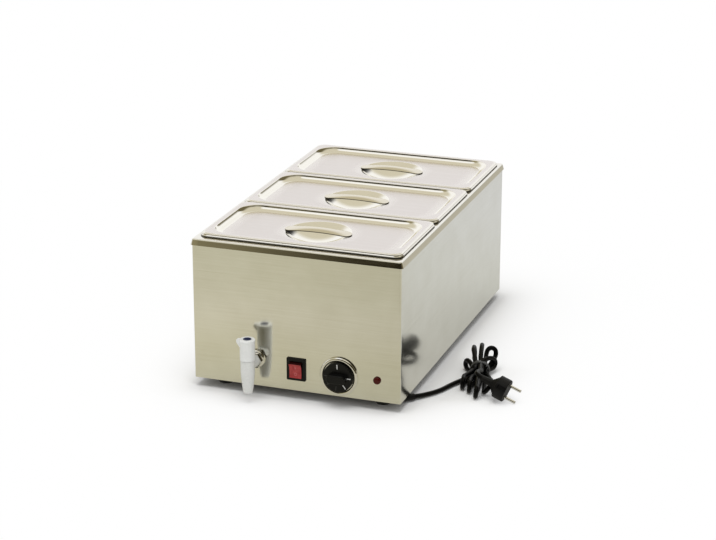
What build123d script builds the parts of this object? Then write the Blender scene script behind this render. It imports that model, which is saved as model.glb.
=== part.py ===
import os
from math import cos, pi, radians, sin, tan

from build123d import *

os.makedirs("parts", exist_ok=True)

# Electric bain-marie: a sheet-metal casing round a water tank that holds three lidded pans.
# Millimetres, +Z up, the control panel faces -Y, origin on the floor.

# Casing and base
sheet = 0.8
side_gap = 11.5             # between the walls of the tank and the casing
front_gap = 19.95
rear_gap = 12.65
foot_height = 15.0          # floor to the lower edge of the casing
case_bend = 3.0
return_width = 14.0         # inward return along the casing's lower edge
plate_gap = 0.6
foot_radius = 13.0
foot_inset_x = 38.5
foot_inset_y = 34.5
foot_screw_radius = 2.0
base_screw_radius = 1.6
hole_clearance = 0.2
thread_clearance = 0.05
running_clearance = 0.05

# Tank
flange_overhang = 1.5
flange_corner = 4.0
lip_drop = 9.5
well_clearance = 1.7
well_floor = 78.0
well_floor_radius = 14.0
water_depth = 16.2          # tank floor to the underside of the pans

# Pans
pan_wall = 0.7
pan_mouth_length = 304.0
pan_mouth_width = 155.0
pan_corner = 22.0
pan_depth = 150.0
pan_draft = 3.0
pan_floor_radius = 14.0
pan_rim = 9.0
pan_rim_corner = 12.0
pan_rim_height = 4.9

# Lids
lid_sheet = 0.8
lid_fit = 0.7
lid_skirt = 3.8
lid_edge = 1.8
lid_gap = 0.7
lid_drop_clearance = 1.7
recess_depth = 8.0
recess_corner = 28.0
recess_floor_radius = 2.5
dish_radius = 50.0
dish_depth = 17.0
strap_width = 24.0
strap_thickness = 1.4
strap_rise = 2.5
strap_landing = 8.0

# Tap and drain
tap_x = -64.5
tap_z = 59.0                # height of the drain line
tap_reach = 35.0            # panel to the upright axis of the tap
spout_z = 17.0
spout_radius = 7.0
tap_radius = 11.0
tap_shoulder = 10.2         # drain line to the top of the tap body
tap_boss_radius = 9.6
handle_radius = 11.7
handle_top_radius = 12.2
handle_height = 33.3
handle_gap = 0.7
wing_reach = 16.5
valve_radius = 6.5
stem_radius = 3.5
port_radius = 4.0
pipe_radius = 8.0
pipe_wall = 2.0
pipe_reach = 20.0
drain_setback = 32.45       # tank's front wall to the drain
rosette_radius = 14.0
rosette_height = 4.5
tap_nut_width = 22.0

# Dial and thermostat
dial_x = 70.0
dial_z = 48.0
bezel_radius = 30.5
bezel_rim = 6.2
bezel_height = 5.0
bezel_plate = 1.2
knob_radius = 23.3
knob_gap = 0.8
knob_face = 8.2
grip_length = 30.0
grip_width = 13.0
grip_height = 11.0
spindle_radius = 3.0
bush_radius = 5.0
thermostat_size = 40.0
thermostat_depth = 26.0
thermostat_screw_pitch = 28.0
thermostat_screw_radius = 2.0

# Switch
switch_x = 1.0
switch_z = 50.0
switch_frame_width = 31.0
switch_frame_height = 36.5
switch_frame_depth = 2.5
switch_body_width = 24.0
switch_body_height = 29.5
switch_body_depth = 26.0
rocker_width = 19.4
rocker_height = 23.4
rocker_gap = 0.5
rocker_tilt = 8.0
rocker_pin_radius = 1.5
rocker_pivot_depth = 3.0

# Lamp
lamp_x = 130.5
lamp_z = 49.0
lamp_radius = 6.0
lamp_height = 4.5
lamp_body_radius = 4.8
lamp_body_depth = 22.0

# Heater
element_radius = 4.0
element_inner = 35.0
element_outer = 105.0
element_reach = 195.0
element_bend = 30.0
element_strap_width = 18.0
element_strap_thickness = 1.5
element_strap_pitch = 120.0
stud_radius = 2.5
stud_x = 70.0
bulb_radius = 3.0
bulb_length = 80.0
bulb_setback = 200.0
clip_foot = 7.0
capillary_radius = 1.0
capillary_exit = 13.0
capillary_clearance = 6.7   # below the straps
capillary_straight = 60.0
capillary_turn = 140.0
capillary_climb = 185.0

# Cord
cord_radius = 3.7
boot_step = 5.0             # behind the foot beside it
boot_gap = 0.5
boot_radius = 6.0
boot_collar = 2.5
boot_height = 7.0
plug_radius = 18.0
plug_head = 18.0
plug_taper = 9.0
plug_sleeve = 17.0
pin_radius = 2.4
pin_length = 19.0
pin_pitch = 19.0
wire_radius = 1.1
wire_turn = 22.0

# Derived sizes and places: the pans set the tank, and the tank sets the casing
pan_rim_length = pan_mouth_length + 2 * pan_rim
pan_rim_width = pan_mouth_width + 2 * pan_rim
lid_length = pan_rim_length + 2 * (lid_sheet + lid_fit)
lid_width = pan_rim_width + 2 * (lid_sheet + lid_fit)
lid_corner = pan_rim_corner + lid_sheet + lid_fit
pan_pitch = lid_width + lid_gap
well_length = pan_mouth_length + 2 * (pan_wall + well_clearance)
well_width = 2 * pan_pitch + pan_mouth_width + 2 * (pan_wall + well_clearance)
well_corner = pan_corner + pan_wall + well_clearance
well_under = well_floor - sheet
case_width = well_length + 4 * sheet + 2 * side_gap
case_depth = well_width + 4 * sheet + front_gap + rear_gap
body_y = (tap_reach + handle_top_radius - flange_overhang) / 2
front_face = body_y - case_depth / 2
base_low = foot_height + sheet
base_top = base_low + sheet
well_y = body_y + (front_gap - rear_gap) / 2
pan_bottom = well_floor + water_depth + pan_wall
pan_rim_top = pan_bottom + pan_depth
flange_top = pan_rim_top - pan_rim_height
lid_top = pan_rim_top + lid_sheet
lid_low = lid_top - lid_skirt
recess_length = pan_mouth_length - 2 * (lid_drop_clearance + lid_sheet)
recess_width = pan_mouth_width - 2 * (lid_drop_clearance + lid_sheet)
recess_floor = lid_top - recess_depth
tap_y = front_face - tap_reach
drain_y = well_y - well_width / 2 + drain_setback
tap_top = tap_z + tap_shoulder
handle_low = tap_top + handle_gap
handle_top = handle_low + handle_height
pan_places = {"front": well_y - pan_pitch, "middle": well_y, "rear": well_y + pan_pitch}


# Shared shapes
def front_plane(x, z, out=0.0):
    return Plane(origin=(x, front_face - out, z), x_dir=(1, 0, 0), z_dir=(0, -1, 0))


def turned_plane(x, z):
    return Plane(origin=(x, front_face, z), x_dir=(1, 0, 0), z_dir=(0, 0, -1))


def upright_plane(x, y):
    return Plane(origin=(x, y, 0), x_dir=(1, 0, 0), z_dir=(0, -1, 0))


def tub(length, width, corner, low, high, y, floor_radius, draft=0.0):
    with BuildPart() as block:
        with BuildSketch(Plane(origin=(0, y, high), x_dir=(1, 0, 0), z_dir=(0, 0, -1))):
            RectangleRounded(length, width, corner)
        extrude(amount=high - low, taper=draft)
        fillet(block.faces().sort_by(Axis.Z)[0].edges(), floor_radius)
    return block.part


def bend_radii(points):
    radii = []
    for before, here, after in zip(points, points[1:], points[2:]):
        first = Vector(*here) - Vector(*before)
        second = Vector(*after) - Vector(*here)
        turn = first.get_angle(second)
        radii.append(0.45 * min(first.length, second.length) / tan(radians(turn / 2)))
    return radii


def tube(points, radius, radii=None):
    with BuildPart() as run:
        with BuildLine() as path:
            FilletPolyline(*points, radius=radii or bend_radii(points))
        with BuildSketch(Plane(origin=points[0], z_dir=Vector(*points[1]) - Vector(*points[0]))):
            Circle(radius)
        sweep(path=path.line)
    return run.part, sum(edge.length for edge in path.edges())


# Base screws run up through the casing's return into the base plate
base_screw_x = (case_width - return_width) / 2
base_screw_y = (case_depth - return_width) / 2
base_screw_places = [(side * base_screw_x, part * case_depth) for side in (-1, 1) for part in (-0.36, 0, 0.36)]
base_screw_places += [(0, -base_screw_y), (0, base_screw_y)]
foot_x = case_width / 2 - foot_inset_x
foot_y = case_depth / 2 - foot_inset_y
foot_places = {
    "foot_front_left": (-foot_x, body_y - foot_y),
    "foot_front_right": (foot_x, body_y - foot_y),
    "foot_rear_left": (-foot_x, body_y + foot_y),
    "foot_rear_right": (foot_x, body_y + foot_y),
}
boot_x = foot_x + foot_radius + boot_radius + boot_collar + boot_gap
boot_y = body_y - foot_y + boot_step

# Casing
with BuildPart() as casing:
    with BuildSketch(Plane(origin=(0, body_y, foot_height))):
        RectangleRounded(case_width, case_depth, case_bend)
        RectangleRounded(case_width - 2 * sheet, case_depth - 2 * sheet, case_bend - sheet, mode=Mode.SUBTRACT)
    extrude(amount=flange_top - sheet - foot_height)
    with BuildSketch(Plane(origin=(0, body_y, foot_height))):
        RectangleRounded(case_width, case_depth, case_bend)
        Rectangle(case_width - 2 * return_width, case_depth - 2 * return_width, mode=Mode.SUBTRACT)
    extrude(amount=sheet)
    with BuildSketch(Plane(origin=(0, body_y, foot_height))):
        with Locations(*base_screw_places):
            Circle(base_screw_radius + hole_clearance)
        with Locations((boot_x, boot_y - body_y)):
            Circle(boot_radius + boot_collar + hole_clearance)
    extrude(amount=sheet, mode=Mode.SUBTRACT)
    with BuildSketch(front_plane(0, 0)):
        with Locations((switch_x, switch_z)):
            Rectangle(switch_body_width + 2 * hole_clearance, switch_body_height + 2 * hole_clearance)
        with Locations((dial_x, dial_z)):
            Circle(bush_radius + hole_clearance)
        with Locations(
            (dial_x - thermostat_screw_pitch / 2, dial_z), (dial_x + thermostat_screw_pitch / 2, dial_z)
        ):
            Circle(thermostat_screw_radius + hole_clearance)
        with Locations((lamp_x, lamp_z)):
            Circle(lamp_body_radius + hole_clearance)
        with Locations((tap_x, tap_z)):
            Circle(pipe_radius + hole_clearance)
    extrude(amount=-sheet, mode=Mode.SUBTRACT)
casing.part.label = "casing"
export_step(casing.part, "parts/casing.step")

# Base plate, with vents under the heater
with BuildPart() as base_plate:
    with BuildSketch(Plane(origin=(0, body_y, base_low))):
        RectangleRounded(
            case_width - 2 * (sheet + plate_gap), case_depth - 2 * (sheet + plate_gap), case_bend
        )
        with Locations(*base_screw_places):
            Circle(base_screw_radius + thread_clearance, mode=Mode.SUBTRACT)
        with GridLocations(16, 64, 8, 3):
            SlotOverall(44, 4, rotation=90, mode=Mode.SUBTRACT)
        with Locations(*[(x, y - body_y) for x, y in foot_places.values()]):
            Circle(foot_screw_radius + hole_clearance, mode=Mode.SUBTRACT)
        with Locations((boot_x, boot_y - body_y)):
            Circle(boot_radius + hole_clearance, mode=Mode.SUBTRACT)
    extrude(amount=sheet)
base_plate.part.label = "base_plate"
export_step(base_plate.part, "parts/base_plate.step")

with BuildPart() as base_screws:
    with BuildSketch(Plane(origin=(0, body_y, foot_height))):
        with Locations(*base_screw_places):
            Circle(2 * base_screw_radius)
    extrude(amount=-2.2)
    fillet(base_screws.edges().group_by(Axis.Z)[0], 0.8)
    with BuildSketch(Plane(origin=(0, body_y, foot_height))):
        with Locations(*base_screw_places):
            Circle(base_screw_radius)
    extrude(amount=base_top + 5 - foot_height)
    with BuildSketch(Plane(origin=(0, body_y, foot_height - 2.2))):
        with Locations(*base_screw_places):
            Rectangle(3.4, 0.7)
            Rectangle(0.7, 3.4)
    extrude(amount=1.0, mode=Mode.SUBTRACT)
base_screws.part.label = "base_screws"
export_step(base_screws.part, "parts/base_screws.step")

# Feet
foot_seat = 0.5 * foot_height
for foot_name, (x, y) in foot_places.items():
    with BuildPart() as foot:
        with BuildSketch(upright_plane(x, y)):
            with BuildLine():
                Polyline(
                    (foot_screw_radius + hole_clearance, foot_seat),
                    (foot_screw_radius + hole_clearance, base_low),
                    (foot_radius, base_low),
                    (foot_radius, 0.3 * foot_height),
                    (0.88 * foot_radius, 0),
                    (0.42 * foot_radius, 0),
                    (0.42 * foot_radius, foot_seat),
                    close=True,
                )
            make_face()
        revolve(axis=Axis((x, y, 0), (0, 0, 1)))
    foot.part.label = foot_name
    export_step(foot.part, f"parts/{foot_name}.step")

with BuildPart() as foot_screws:
    with BuildSketch(Plane(origin=(0, 0, foot_seat))):
        with Locations(*foot_places.values()):
            Circle(2 * foot_screw_radius)
    extrude(amount=-2.6)
    fillet(foot_screws.edges().group_by(Axis.Z)[0], 1.0)
    with BuildSketch(Plane(origin=(0, 0, foot_seat))):
        with Locations(*foot_places.values()):
            Circle(foot_screw_radius)
    extrude(amount=base_top + 6 - foot_seat)
foot_screws.part.label = "foot_screws"
export_step(foot_screws.part, "parts/foot_screws.step")

with BuildPart() as foot_nuts:
    with BuildSketch(Plane(origin=(0, 0, base_top))):
        with Locations(*foot_places.values()):
            RegularPolygon(1.75 * foot_screw_radius, 6, major_radius=False)
            Circle(foot_screw_radius + thread_clearance, mode=Mode.SUBTRACT)
    extrude(amount=3.2)
foot_nuts.part.label = "foot_nuts"
export_step(foot_nuts.part, "parts/foot_nuts.step")

# Tank
well_shell = tub(
    well_length + 2 * sheet, well_width + 2 * sheet, well_corner + sheet,
    well_under, flange_top, well_y, well_floor_radius + sheet,
)
well_hollow = tub(well_length, well_width, well_corner, well_floor, flange_top, well_y, well_floor_radius)
flange_width = case_width + 2 * flange_overhang
flange_depth = case_depth + 2 * flange_overhang
with BuildPart() as tank:
    with BuildSketch(Plane(origin=(0, body_y, flange_top - lip_drop))):
        RectangleRounded(flange_width, flange_depth, flange_corner)
    extrude(amount=lip_drop)
    fillet(tank.faces().sort_by(Axis.Z)[-1].edges(), 2 * sheet)
    with BuildSketch(Plane(origin=(0, body_y, flange_top - lip_drop))):
        RectangleRounded(flange_width - 2 * sheet, flange_depth - 2 * sheet, flange_corner - sheet)
    extrude(amount=lip_drop - sheet, mode=Mode.SUBTRACT)
    add(well_shell)
    add(well_hollow, mode=Mode.SUBTRACT)
    with BuildSketch(Plane(origin=(tap_x, drain_y, well_under))):
        Circle(pipe_radius - pipe_wall)
    extrude(amount=sheet, mode=Mode.SUBTRACT)
tank.part.label = "tank"
export_step(tank.part, "parts/tank.step")

# Pans, lids and lid handles
for place, y in pan_places.items():
    pan_shell = tub(
        pan_mouth_length + 2 * pan_wall, pan_mouth_width + 2 * pan_wall, pan_corner + pan_wall,
        pan_bottom - pan_wall, pan_rim_top, y, pan_floor_radius + pan_wall, pan_draft,
    )
    pan_hollow = tub(
        pan_mouth_length, pan_mouth_width, pan_corner, pan_bottom, pan_rim_top, y, pan_floor_radius, pan_draft
    )
    with BuildPart() as pan:
        with BuildSketch(Plane(origin=(0, y, flange_top))):
            RectangleRounded(pan_rim_length, pan_rim_width, pan_rim_corner)
        extrude(amount=pan_rim_height)
        fillet(pan.faces().sort_by(Axis.Z)[-1].edges(), 2 * pan_wall)
        with BuildSketch(Plane(origin=(0, y, flange_top))):
            RectangleRounded(pan_rim_length - 2 * pan_wall, pan_rim_width - 2 * pan_wall, pan_rim_corner - pan_wall)
        extrude(amount=pan_rim_height - pan_wall, mode=Mode.SUBTRACT)
        add(pan_shell)
        add(pan_hollow, mode=Mode.SUBTRACT)
    pan.part.label = f"{place}_pan"
    export_step(pan.part, f"parts/{place}_pan.step")

    recess_shell = tub(
        recess_length + 2 * lid_sheet, recess_width + 2 * lid_sheet, recess_corner + lid_sheet,
        recess_floor - lid_sheet, lid_top, y, recess_floor_radius + lid_sheet,
    )
    recess_hollow = tub(
        recess_length, recess_width, recess_corner, recess_floor, lid_top, y, recess_floor_radius
    )
    with BuildPart() as lid:
        with BuildSketch(Plane(origin=(0, y, lid_low))):
            RectangleRounded(lid_length, lid_width, lid_corner)
        extrude(amount=lid_skirt)
        fillet(lid.faces().sort_by(Axis.Z)[-1].edges(), lid_edge)
        with BuildSketch(Plane(origin=(0, y, lid_low))):
            RectangleRounded(lid_length - 2 * lid_sheet, lid_width - 2 * lid_sheet, lid_corner - lid_sheet)
        extrude(amount=lid_skirt - lid_sheet, mode=Mode.SUBTRACT)
        add(recess_shell)
        with BuildSketch(upright_plane(0, y)):
            with BuildLine():
                Line((0, recess_floor), (0, recess_floor - dish_depth - lid_sheet))
                ThreePointArc(
                    (0, recess_floor - dish_depth - lid_sheet),
                    (0.55 * dish_radius, recess_floor - 0.72 * dish_depth - lid_sheet),
                    (dish_radius + lid_sheet, recess_floor - lid_sheet),
                )
                Line((dish_radius + lid_sheet, recess_floor - lid_sheet), (dish_radius + lid_sheet, recess_floor))
                Line((dish_radius + lid_sheet, recess_floor), (0, recess_floor))
            make_face()
        revolve(axis=Axis((0, y, 0), (0, 0, 1)))
        add(recess_hollow, mode=Mode.SUBTRACT)
        with BuildSketch(upright_plane(0, y)):
            with BuildLine():
                Line((0, recess_floor), (0, recess_floor - dish_depth))
                ThreePointArc(
                    (0, recess_floor - dish_depth),
                    (0.55 * dish_radius, recess_floor - 0.72 * dish_depth),
                    (dish_radius, recess_floor),
                )
                Line((dish_radius, recess_floor), (0, recess_floor))
            make_face()
        revolve(axis=Axis((0, y, 0), (0, 0, 1)), mode=Mode.SUBTRACT)
        fillet(lid.faces().sort_by(Axis.Z)[-1].inner_wires()[0].edges(), 1.5 * lid_sheet)
    lid.part.label = f"{place}_lid"
    export_step(lid.part, f"parts/{place}_lid.step")

    strap_half = dish_radius + strap_landing
    strap_high = recess_floor + strap_thickness
    with BuildPart() as lid_handle:
        with BuildSketch(upright_plane(0, y + strap_width / 2)):
            with BuildLine():
                Line((-strap_half, recess_floor), (-dish_radius, recess_floor))
                ThreePointArc(
                    (-dish_radius, recess_floor), (0, recess_floor + strap_rise), (dish_radius, recess_floor)
                )
                Line((dish_radius, recess_floor), (strap_half, recess_floor))
                Line((strap_half, recess_floor), (strap_half, strap_high))
                Line((strap_half, strap_high), (dish_radius, strap_high))
                ThreePointArc((dish_radius, strap_high), (0, strap_high + strap_rise), (-dish_radius, strap_high))
                Line((-dish_radius, strap_high), (-strap_half, strap_high))
                Line((-strap_half, strap_high), (-strap_half, recess_floor))
            make_face()
        extrude(amount=strap_width)
        with BuildSketch(Plane(origin=(0, y, recess_floor))):
            RectangleRounded(2 * strap_half, strap_width, 0.48 * strap_width)
        extrude(amount=strap_rise + 2 * strap_thickness, mode=Mode.INTERSECT)
    lid_handle.part.label = f"{place}_lid_handle"
    export_step(lid_handle.part, f"parts/{place}_lid_handle.step")

# Heating element, clamped up against the tank floor
element_z = well_under - element_radius
element_front = well_y - element_reach
element_back = well_y + element_reach
element_path = [
    (-element_outer, element_front, element_z),
    (-element_outer, element_back, element_z),
    (-element_inner, element_back, element_z),
    (-element_inner, element_front + 30, element_z),
    (element_inner, element_front + 30, element_z),
    (element_inner, element_back, element_z),
    (element_outer, element_back, element_z),
    (element_outer, element_front, element_z),
]
element_tube = tube(element_path, element_radius, [element_bend] * 6)[0]
with BuildPart() as heating_element:
    add(element_tube)
heating_element.part.label = "heating_element"
export_step(heating_element.part, "parts/heating_element.step")

element_pin_end = element_front - 18
with BuildPart() as element_terminals:
    with BuildSketch(Plane(origin=(0, element_front, element_z), x_dir=(1, 0, 0), z_dir=(0, -1, 0))):
        with Locations((-element_outer, 0), (element_outer, 0)):
            Circle(0.75 * element_radius)
    extrude(amount=6)
    with BuildSketch(Plane(origin=(0, element_front, element_z), x_dir=(1, 0, 0), z_dir=(0, -1, 0))):
        with Locations((-element_outer, 0), (element_outer, 0)):
            Circle(0.35 * element_radius)
    extrude(amount=element_front - element_pin_end)
element_terminals.part.label = "element_terminals"
export_step(element_terminals.part, "parts/element_terminals.step")

strap_top = well_under - 2 * element_radius
strap_low = strap_top - element_strap_thickness
strap_rows = [(0, row * element_strap_pitch) for row in (-1, 0, 1)]
stud_places = [(side * stud_x, row * element_strap_pitch) for side in (-1, 1) for row in (-1, 0, 1)]
with BuildPart() as element_straps:
    with BuildSketch(Plane(origin=(0, well_y, strap_low))):
        with Locations(*strap_rows):
            SlotOverall(2 * element_outer + 30, element_strap_width)
        with Locations(*stud_places):
            Circle(stud_radius + hole_clearance, mode=Mode.SUBTRACT)
    extrude(amount=element_strap_thickness)
element_straps.part.label = "element_straps"
export_step(element_straps.part, "parts/element_straps.step")

with BuildPart() as strap_studs:
    with BuildSketch(Plane(origin=(0, well_y, well_under))):
        with Locations(*stud_places):
            Circle(stud_radius)
    extrude(amount=strap_low - 8 - well_under)
strap_studs.part.label = "strap_studs"
export_step(strap_studs.part, "parts/strap_studs.step")

with BuildPart() as strap_nuts:
    with BuildSketch(Plane(origin=(0, well_y, strap_low))):
        with Locations(*stud_places):
            RegularPolygon(1.6 * stud_radius, 6, major_radius=False)
            Circle(stud_radius + thread_clearance, mode=Mode.SUBTRACT)
    extrude(amount=-4)
strap_nuts.part.label = "strap_nuts"
export_step(strap_nuts.part, "parts/strap_nuts.step")

# Drain: an elbow from the tank floor out through the panel
pipe_end = front_face - pipe_reach
pipe_bore = pipe_radius - pipe_wall
with BuildPart() as drain_pipe:
    with BuildSketch(Plane(origin=(tap_x, drain_y, well_under))):
        Circle(pipe_radius + 6)
    extrude(amount=-1.5)
    with BuildSketch(Plane(origin=(tap_x, drain_y, well_under))):
        Circle(pipe_radius)
    extrude(amount=tap_z - well_under)
    with BuildSketch(Plane(origin=(tap_x, drain_y, tap_z), x_dir=(1, 0, 0), z_dir=(0, -1, 0))):
        Circle(pipe_radius)
    extrude(amount=drain_y - pipe_end)
    with Locations((tap_x, drain_y, tap_z)):
        Sphere(pipe_radius)
    with BuildSketch(Plane(origin=(tap_x, drain_y, well_under))):
        Circle(pipe_bore)
    extrude(amount=tap_z - well_under, mode=Mode.SUBTRACT)
    with BuildSketch(Plane(origin=(tap_x, drain_y, tap_z), x_dir=(1, 0, 0), z_dir=(0, -1, 0))):
        Circle(pipe_bore)
    extrude(amount=drain_y - pipe_end, mode=Mode.SUBTRACT)
    with Locations((tap_x, drain_y, tap_z)):
        Sphere(pipe_bore, mode=Mode.SUBTRACT)
drain_pipe.part.label = "drain_pipe"
export_step(drain_pipe.part, "parts/drain_pipe.step")

with BuildPart() as drain_lock_nut:
    with BuildSketch(front_plane(tap_x, tap_z, -sheet)):
        RegularPolygon(tap_nut_width / 2 + 1, 6, major_radius=False)
        Circle(pipe_radius + thread_clearance, mode=Mode.SUBTRACT)
    extrude(amount=-6)
drain_lock_nut.part.label = "drain_lock_nut"
export_step(drain_lock_nut.part, "parts/drain_lock_nut.step")

with BuildPart() as tap_rosette:
    with BuildSketch(turned_plane(tap_x, tap_z)):
        with BuildLine():
            Line((pipe_radius + thread_clearance, 0), (rosette_radius, 0))
            Line((rosette_radius, 0), (rosette_radius, 0.3 * rosette_height))
            ThreePointArc(
                (rosette_radius, 0.3 * rosette_height),
                (0.92 * rosette_radius, 0.85 * rosette_height),
                (0.8 * rosette_radius, rosette_height),
            )
            Line((0.8 * rosette_radius, rosette_height), (pipe_radius + thread_clearance, rosette_height))
            Line((pipe_radius + thread_clearance, rosette_height), (pipe_radius + thread_clearance, 0))
        make_face()
    revolve(axis=Axis((tap_x, front_face, tap_z), (0, -1, 0)))
tap_rosette.part.label = "tap_rosette"
export_step(tap_rosette.part, "parts/tap_rosette.step")

socket_out = pipe_reach - 8
with BuildPart() as tap_nut:
    with BuildSketch(front_plane(tap_x, tap_z, rosette_height)):
        RegularPolygon(tap_nut_width / 2, 6, major_radius=False)
        Circle(pipe_radius + thread_clearance, mode=Mode.SUBTRACT)
    extrude(amount=socket_out - rosette_height)
tap_nut.part.label = "tap_nut"
export_step(tap_nut.part, "parts/tap_nut.step")

# Tap body: upright spout with a side socket that takes the pipe's end
valve_low = tap_z - valve_radius - 0.5
valve_high = tap_z + 0.6 * tap_shoulder
tap_axis = Axis((tap_x, tap_y, 0), (0, 0, 1))
with BuildPart() as tap_body:
    with BuildSketch(upright_plane(tap_x, tap_y)):
        with BuildLine():
            Line((0, tap_top), (0, spout_z))
            Line((0, spout_z), (spout_radius, spout_z))
            ThreePointArc(
                (spout_radius, spout_z),
                (0.5 * (spout_radius + tap_radius) + 0.6, 0.5 * (spout_z + valve_low)),
                (tap_radius, valve_low),
            )
            Line((tap_radius, valve_low), (tap_radius, tap_top))
            Line((tap_radius, tap_top), (0, tap_top))
        make_face()
    revolve(axis=tap_axis)
    with BuildSketch(front_plane(tap_x, tap_z, socket_out)):
        Circle(tap_boss_radius)
    extrude(amount=tap_reach - socket_out)
    with BuildSketch(front_plane(tap_x, tap_z, socket_out)):
        Circle(pipe_radius + thread_clearance)
    extrude(amount=pipe_reach - socket_out, mode=Mode.SUBTRACT)
    with BuildSketch(front_plane(tap_x, tap_z, pipe_reach)):
        Circle(port_radius)
    extrude(amount=tap_reach - pipe_reach, mode=Mode.SUBTRACT)
    with BuildSketch(Plane(origin=(tap_x, tap_y, spout_z))):
        Circle(spout_radius - 2.2)
    extrude(amount=valve_low - spout_z, mode=Mode.SUBTRACT)
    with BuildSketch(Plane(origin=(tap_x, tap_y, valve_low))):
        Circle(valve_radius + running_clearance)
    extrude(amount=valve_high - valve_low, mode=Mode.SUBTRACT)
    with BuildSketch(Plane(origin=(tap_x, tap_y, valve_high))):
        Circle(valve_radius + 2.5)
    extrude(amount=tap_top - valve_high, mode=Mode.SUBTRACT)
tap_body.part.label = "tap_body"
export_step(tap_body.part, "parts/tap_body.step")

with BuildPart() as tap_bonnet:
    with BuildSketch(Plane(origin=(tap_x, tap_y, valve_high))):
        Circle(valve_radius + 2.5 - thread_clearance)
    extrude(amount=tap_top - valve_high)
    with BuildSketch(Plane(origin=(tap_x, tap_y, tap_top))):
        RegularPolygon(valve_radius, 6, major_radius=False)
    extrude(amount=3.5)
    with BuildSketch(Plane(origin=(tap_x, tap_y, valve_high))):
        Circle(stem_radius + running_clearance)
    extrude(amount=tap_top + 3.5 - valve_high, mode=Mode.SUBTRACT)
tap_bonnet.part.label = "tap_bonnet"
export_step(tap_bonnet.part, "parts/tap_bonnet.step")

# Valve plug with its stem: the side port faces +X when shut and the pipe after a quarter turn
handle_floor = handle_top - 5.0
stem_end = handle_floor - 3.0
screw_hole_end = stem_end - 10.0
with BuildPart() as tap_valve_plug:
    with BuildSketch(Plane(origin=(tap_x, tap_y, valve_low + 0.2))):
        Circle(valve_radius)
    extrude(amount=valve_high - valve_low - 0.4)
    with BuildSketch(Plane(origin=(tap_x, tap_y, valve_low + 0.2))):
        Circle(stem_radius)
    extrude(amount=stem_end - valve_low - 0.2)
    with BuildSketch(Plane(origin=(tap_x, tap_y, valve_low + 0.2))):
        Circle(port_radius)
    extrude(amount=tap_z - valve_low, mode=Mode.SUBTRACT)
    with BuildSketch(Plane(origin=(tap_x, tap_y, tap_z), x_dir=(0, 1, 0), z_dir=(1, 0, 0))):
        Circle(0.8 * port_radius)
    extrude(amount=valve_radius, mode=Mode.SUBTRACT)
    with BuildSketch(Plane(origin=(tap_x, tap_y, screw_hole_end))):
        Circle(1.5 + thread_clearance)
    extrude(amount=stem_end - screw_hole_end, mode=Mode.SUBTRACT)
tap_valve_plug.part.label = "tap_valve_plug"
export_step(tap_valve_plug.part, "parts/tap_valve_plug.step")

handle_cavity_top = tap_top + 0.48 * handle_height
cap_radius = 0.52 * handle_top_radius
with BuildPart() as tap_handle:
    with BuildSketch(upright_plane(tap_x, tap_y)):
        with BuildLine():
            Polyline(
                (0, handle_low),
                (handle_radius, handle_low),
                (handle_radius, handle_top - 5),
                (handle_top_radius, handle_top - 3),
                (handle_top_radius, handle_top - 1.2),
                (handle_top_radius - 1.2, handle_top),
                (0, handle_top),
                close=True,
            )
        make_face()
    revolve(axis=tap_axis)
    with BuildSketch(upright_plane(tap_x, tap_y)):
        with BuildLine():
            Polyline(
                (0, handle_top - 14),
                (-handle_radius + 1, handle_top - 14),
                (-wing_reach, handle_top - 5.5),
                (-wing_reach, handle_top - 1.8),
                (0, handle_top - 1.8),
                close=True,
            )
        make_face()
    extrude(amount=4, both=True)
    with BuildSketch(Plane(origin=(tap_x, tap_y, handle_low))):
        Circle(handle_radius - 2)
    extrude(amount=handle_cavity_top - handle_low, mode=Mode.SUBTRACT)
    with BuildSketch(Plane(origin=(tap_x, tap_y, handle_cavity_top))):
        Circle(stem_radius + thread_clearance)
    extrude(amount=stem_end - handle_cavity_top, mode=Mode.SUBTRACT)
    with BuildSketch(Plane(origin=(tap_x, tap_y, stem_end))):
        Circle(1.5 + hole_clearance)
    extrude(amount=handle_floor - stem_end, mode=Mode.SUBTRACT)
    with BuildSketch(Plane(origin=(tap_x, tap_y, handle_floor))):
        Circle(cap_radius + hole_clearance)
    extrude(amount=handle_top - handle_floor, mode=Mode.SUBTRACT)
tap_handle.part.label = "tap_handle"
export_step(tap_handle.part, "parts/tap_handle.step")

with BuildPart() as tap_handle_screw:
    with BuildSketch(Plane(origin=(tap_x, tap_y, handle_floor))):
        Circle(3.0)
    extrude(amount=2.2)
    with BuildSketch(Plane(origin=(tap_x, tap_y, handle_floor))):
        Circle(1.5)
    extrude(amount=screw_hole_end + 1 - handle_floor)
tap_handle_screw.part.label = "tap_handle_screw"
export_step(tap_handle_screw.part, "parts/tap_handle_screw.step")

with BuildPart() as tap_handle_cap:
    with BuildSketch(Plane(origin=(tap_x, tap_y, handle_floor + 2.2))):
        Circle(cap_radius)
    extrude(amount=handle_top + 0.4 - handle_floor - 2.2)
    fillet(tap_handle_cap.faces().sort_by(Axis.Z)[-1].edges(), 0.6)
tap_handle_cap.part.label = "tap_handle_cap"
export_step(tap_handle_cap.part, "parts/tap_handle_cap.step")

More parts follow.
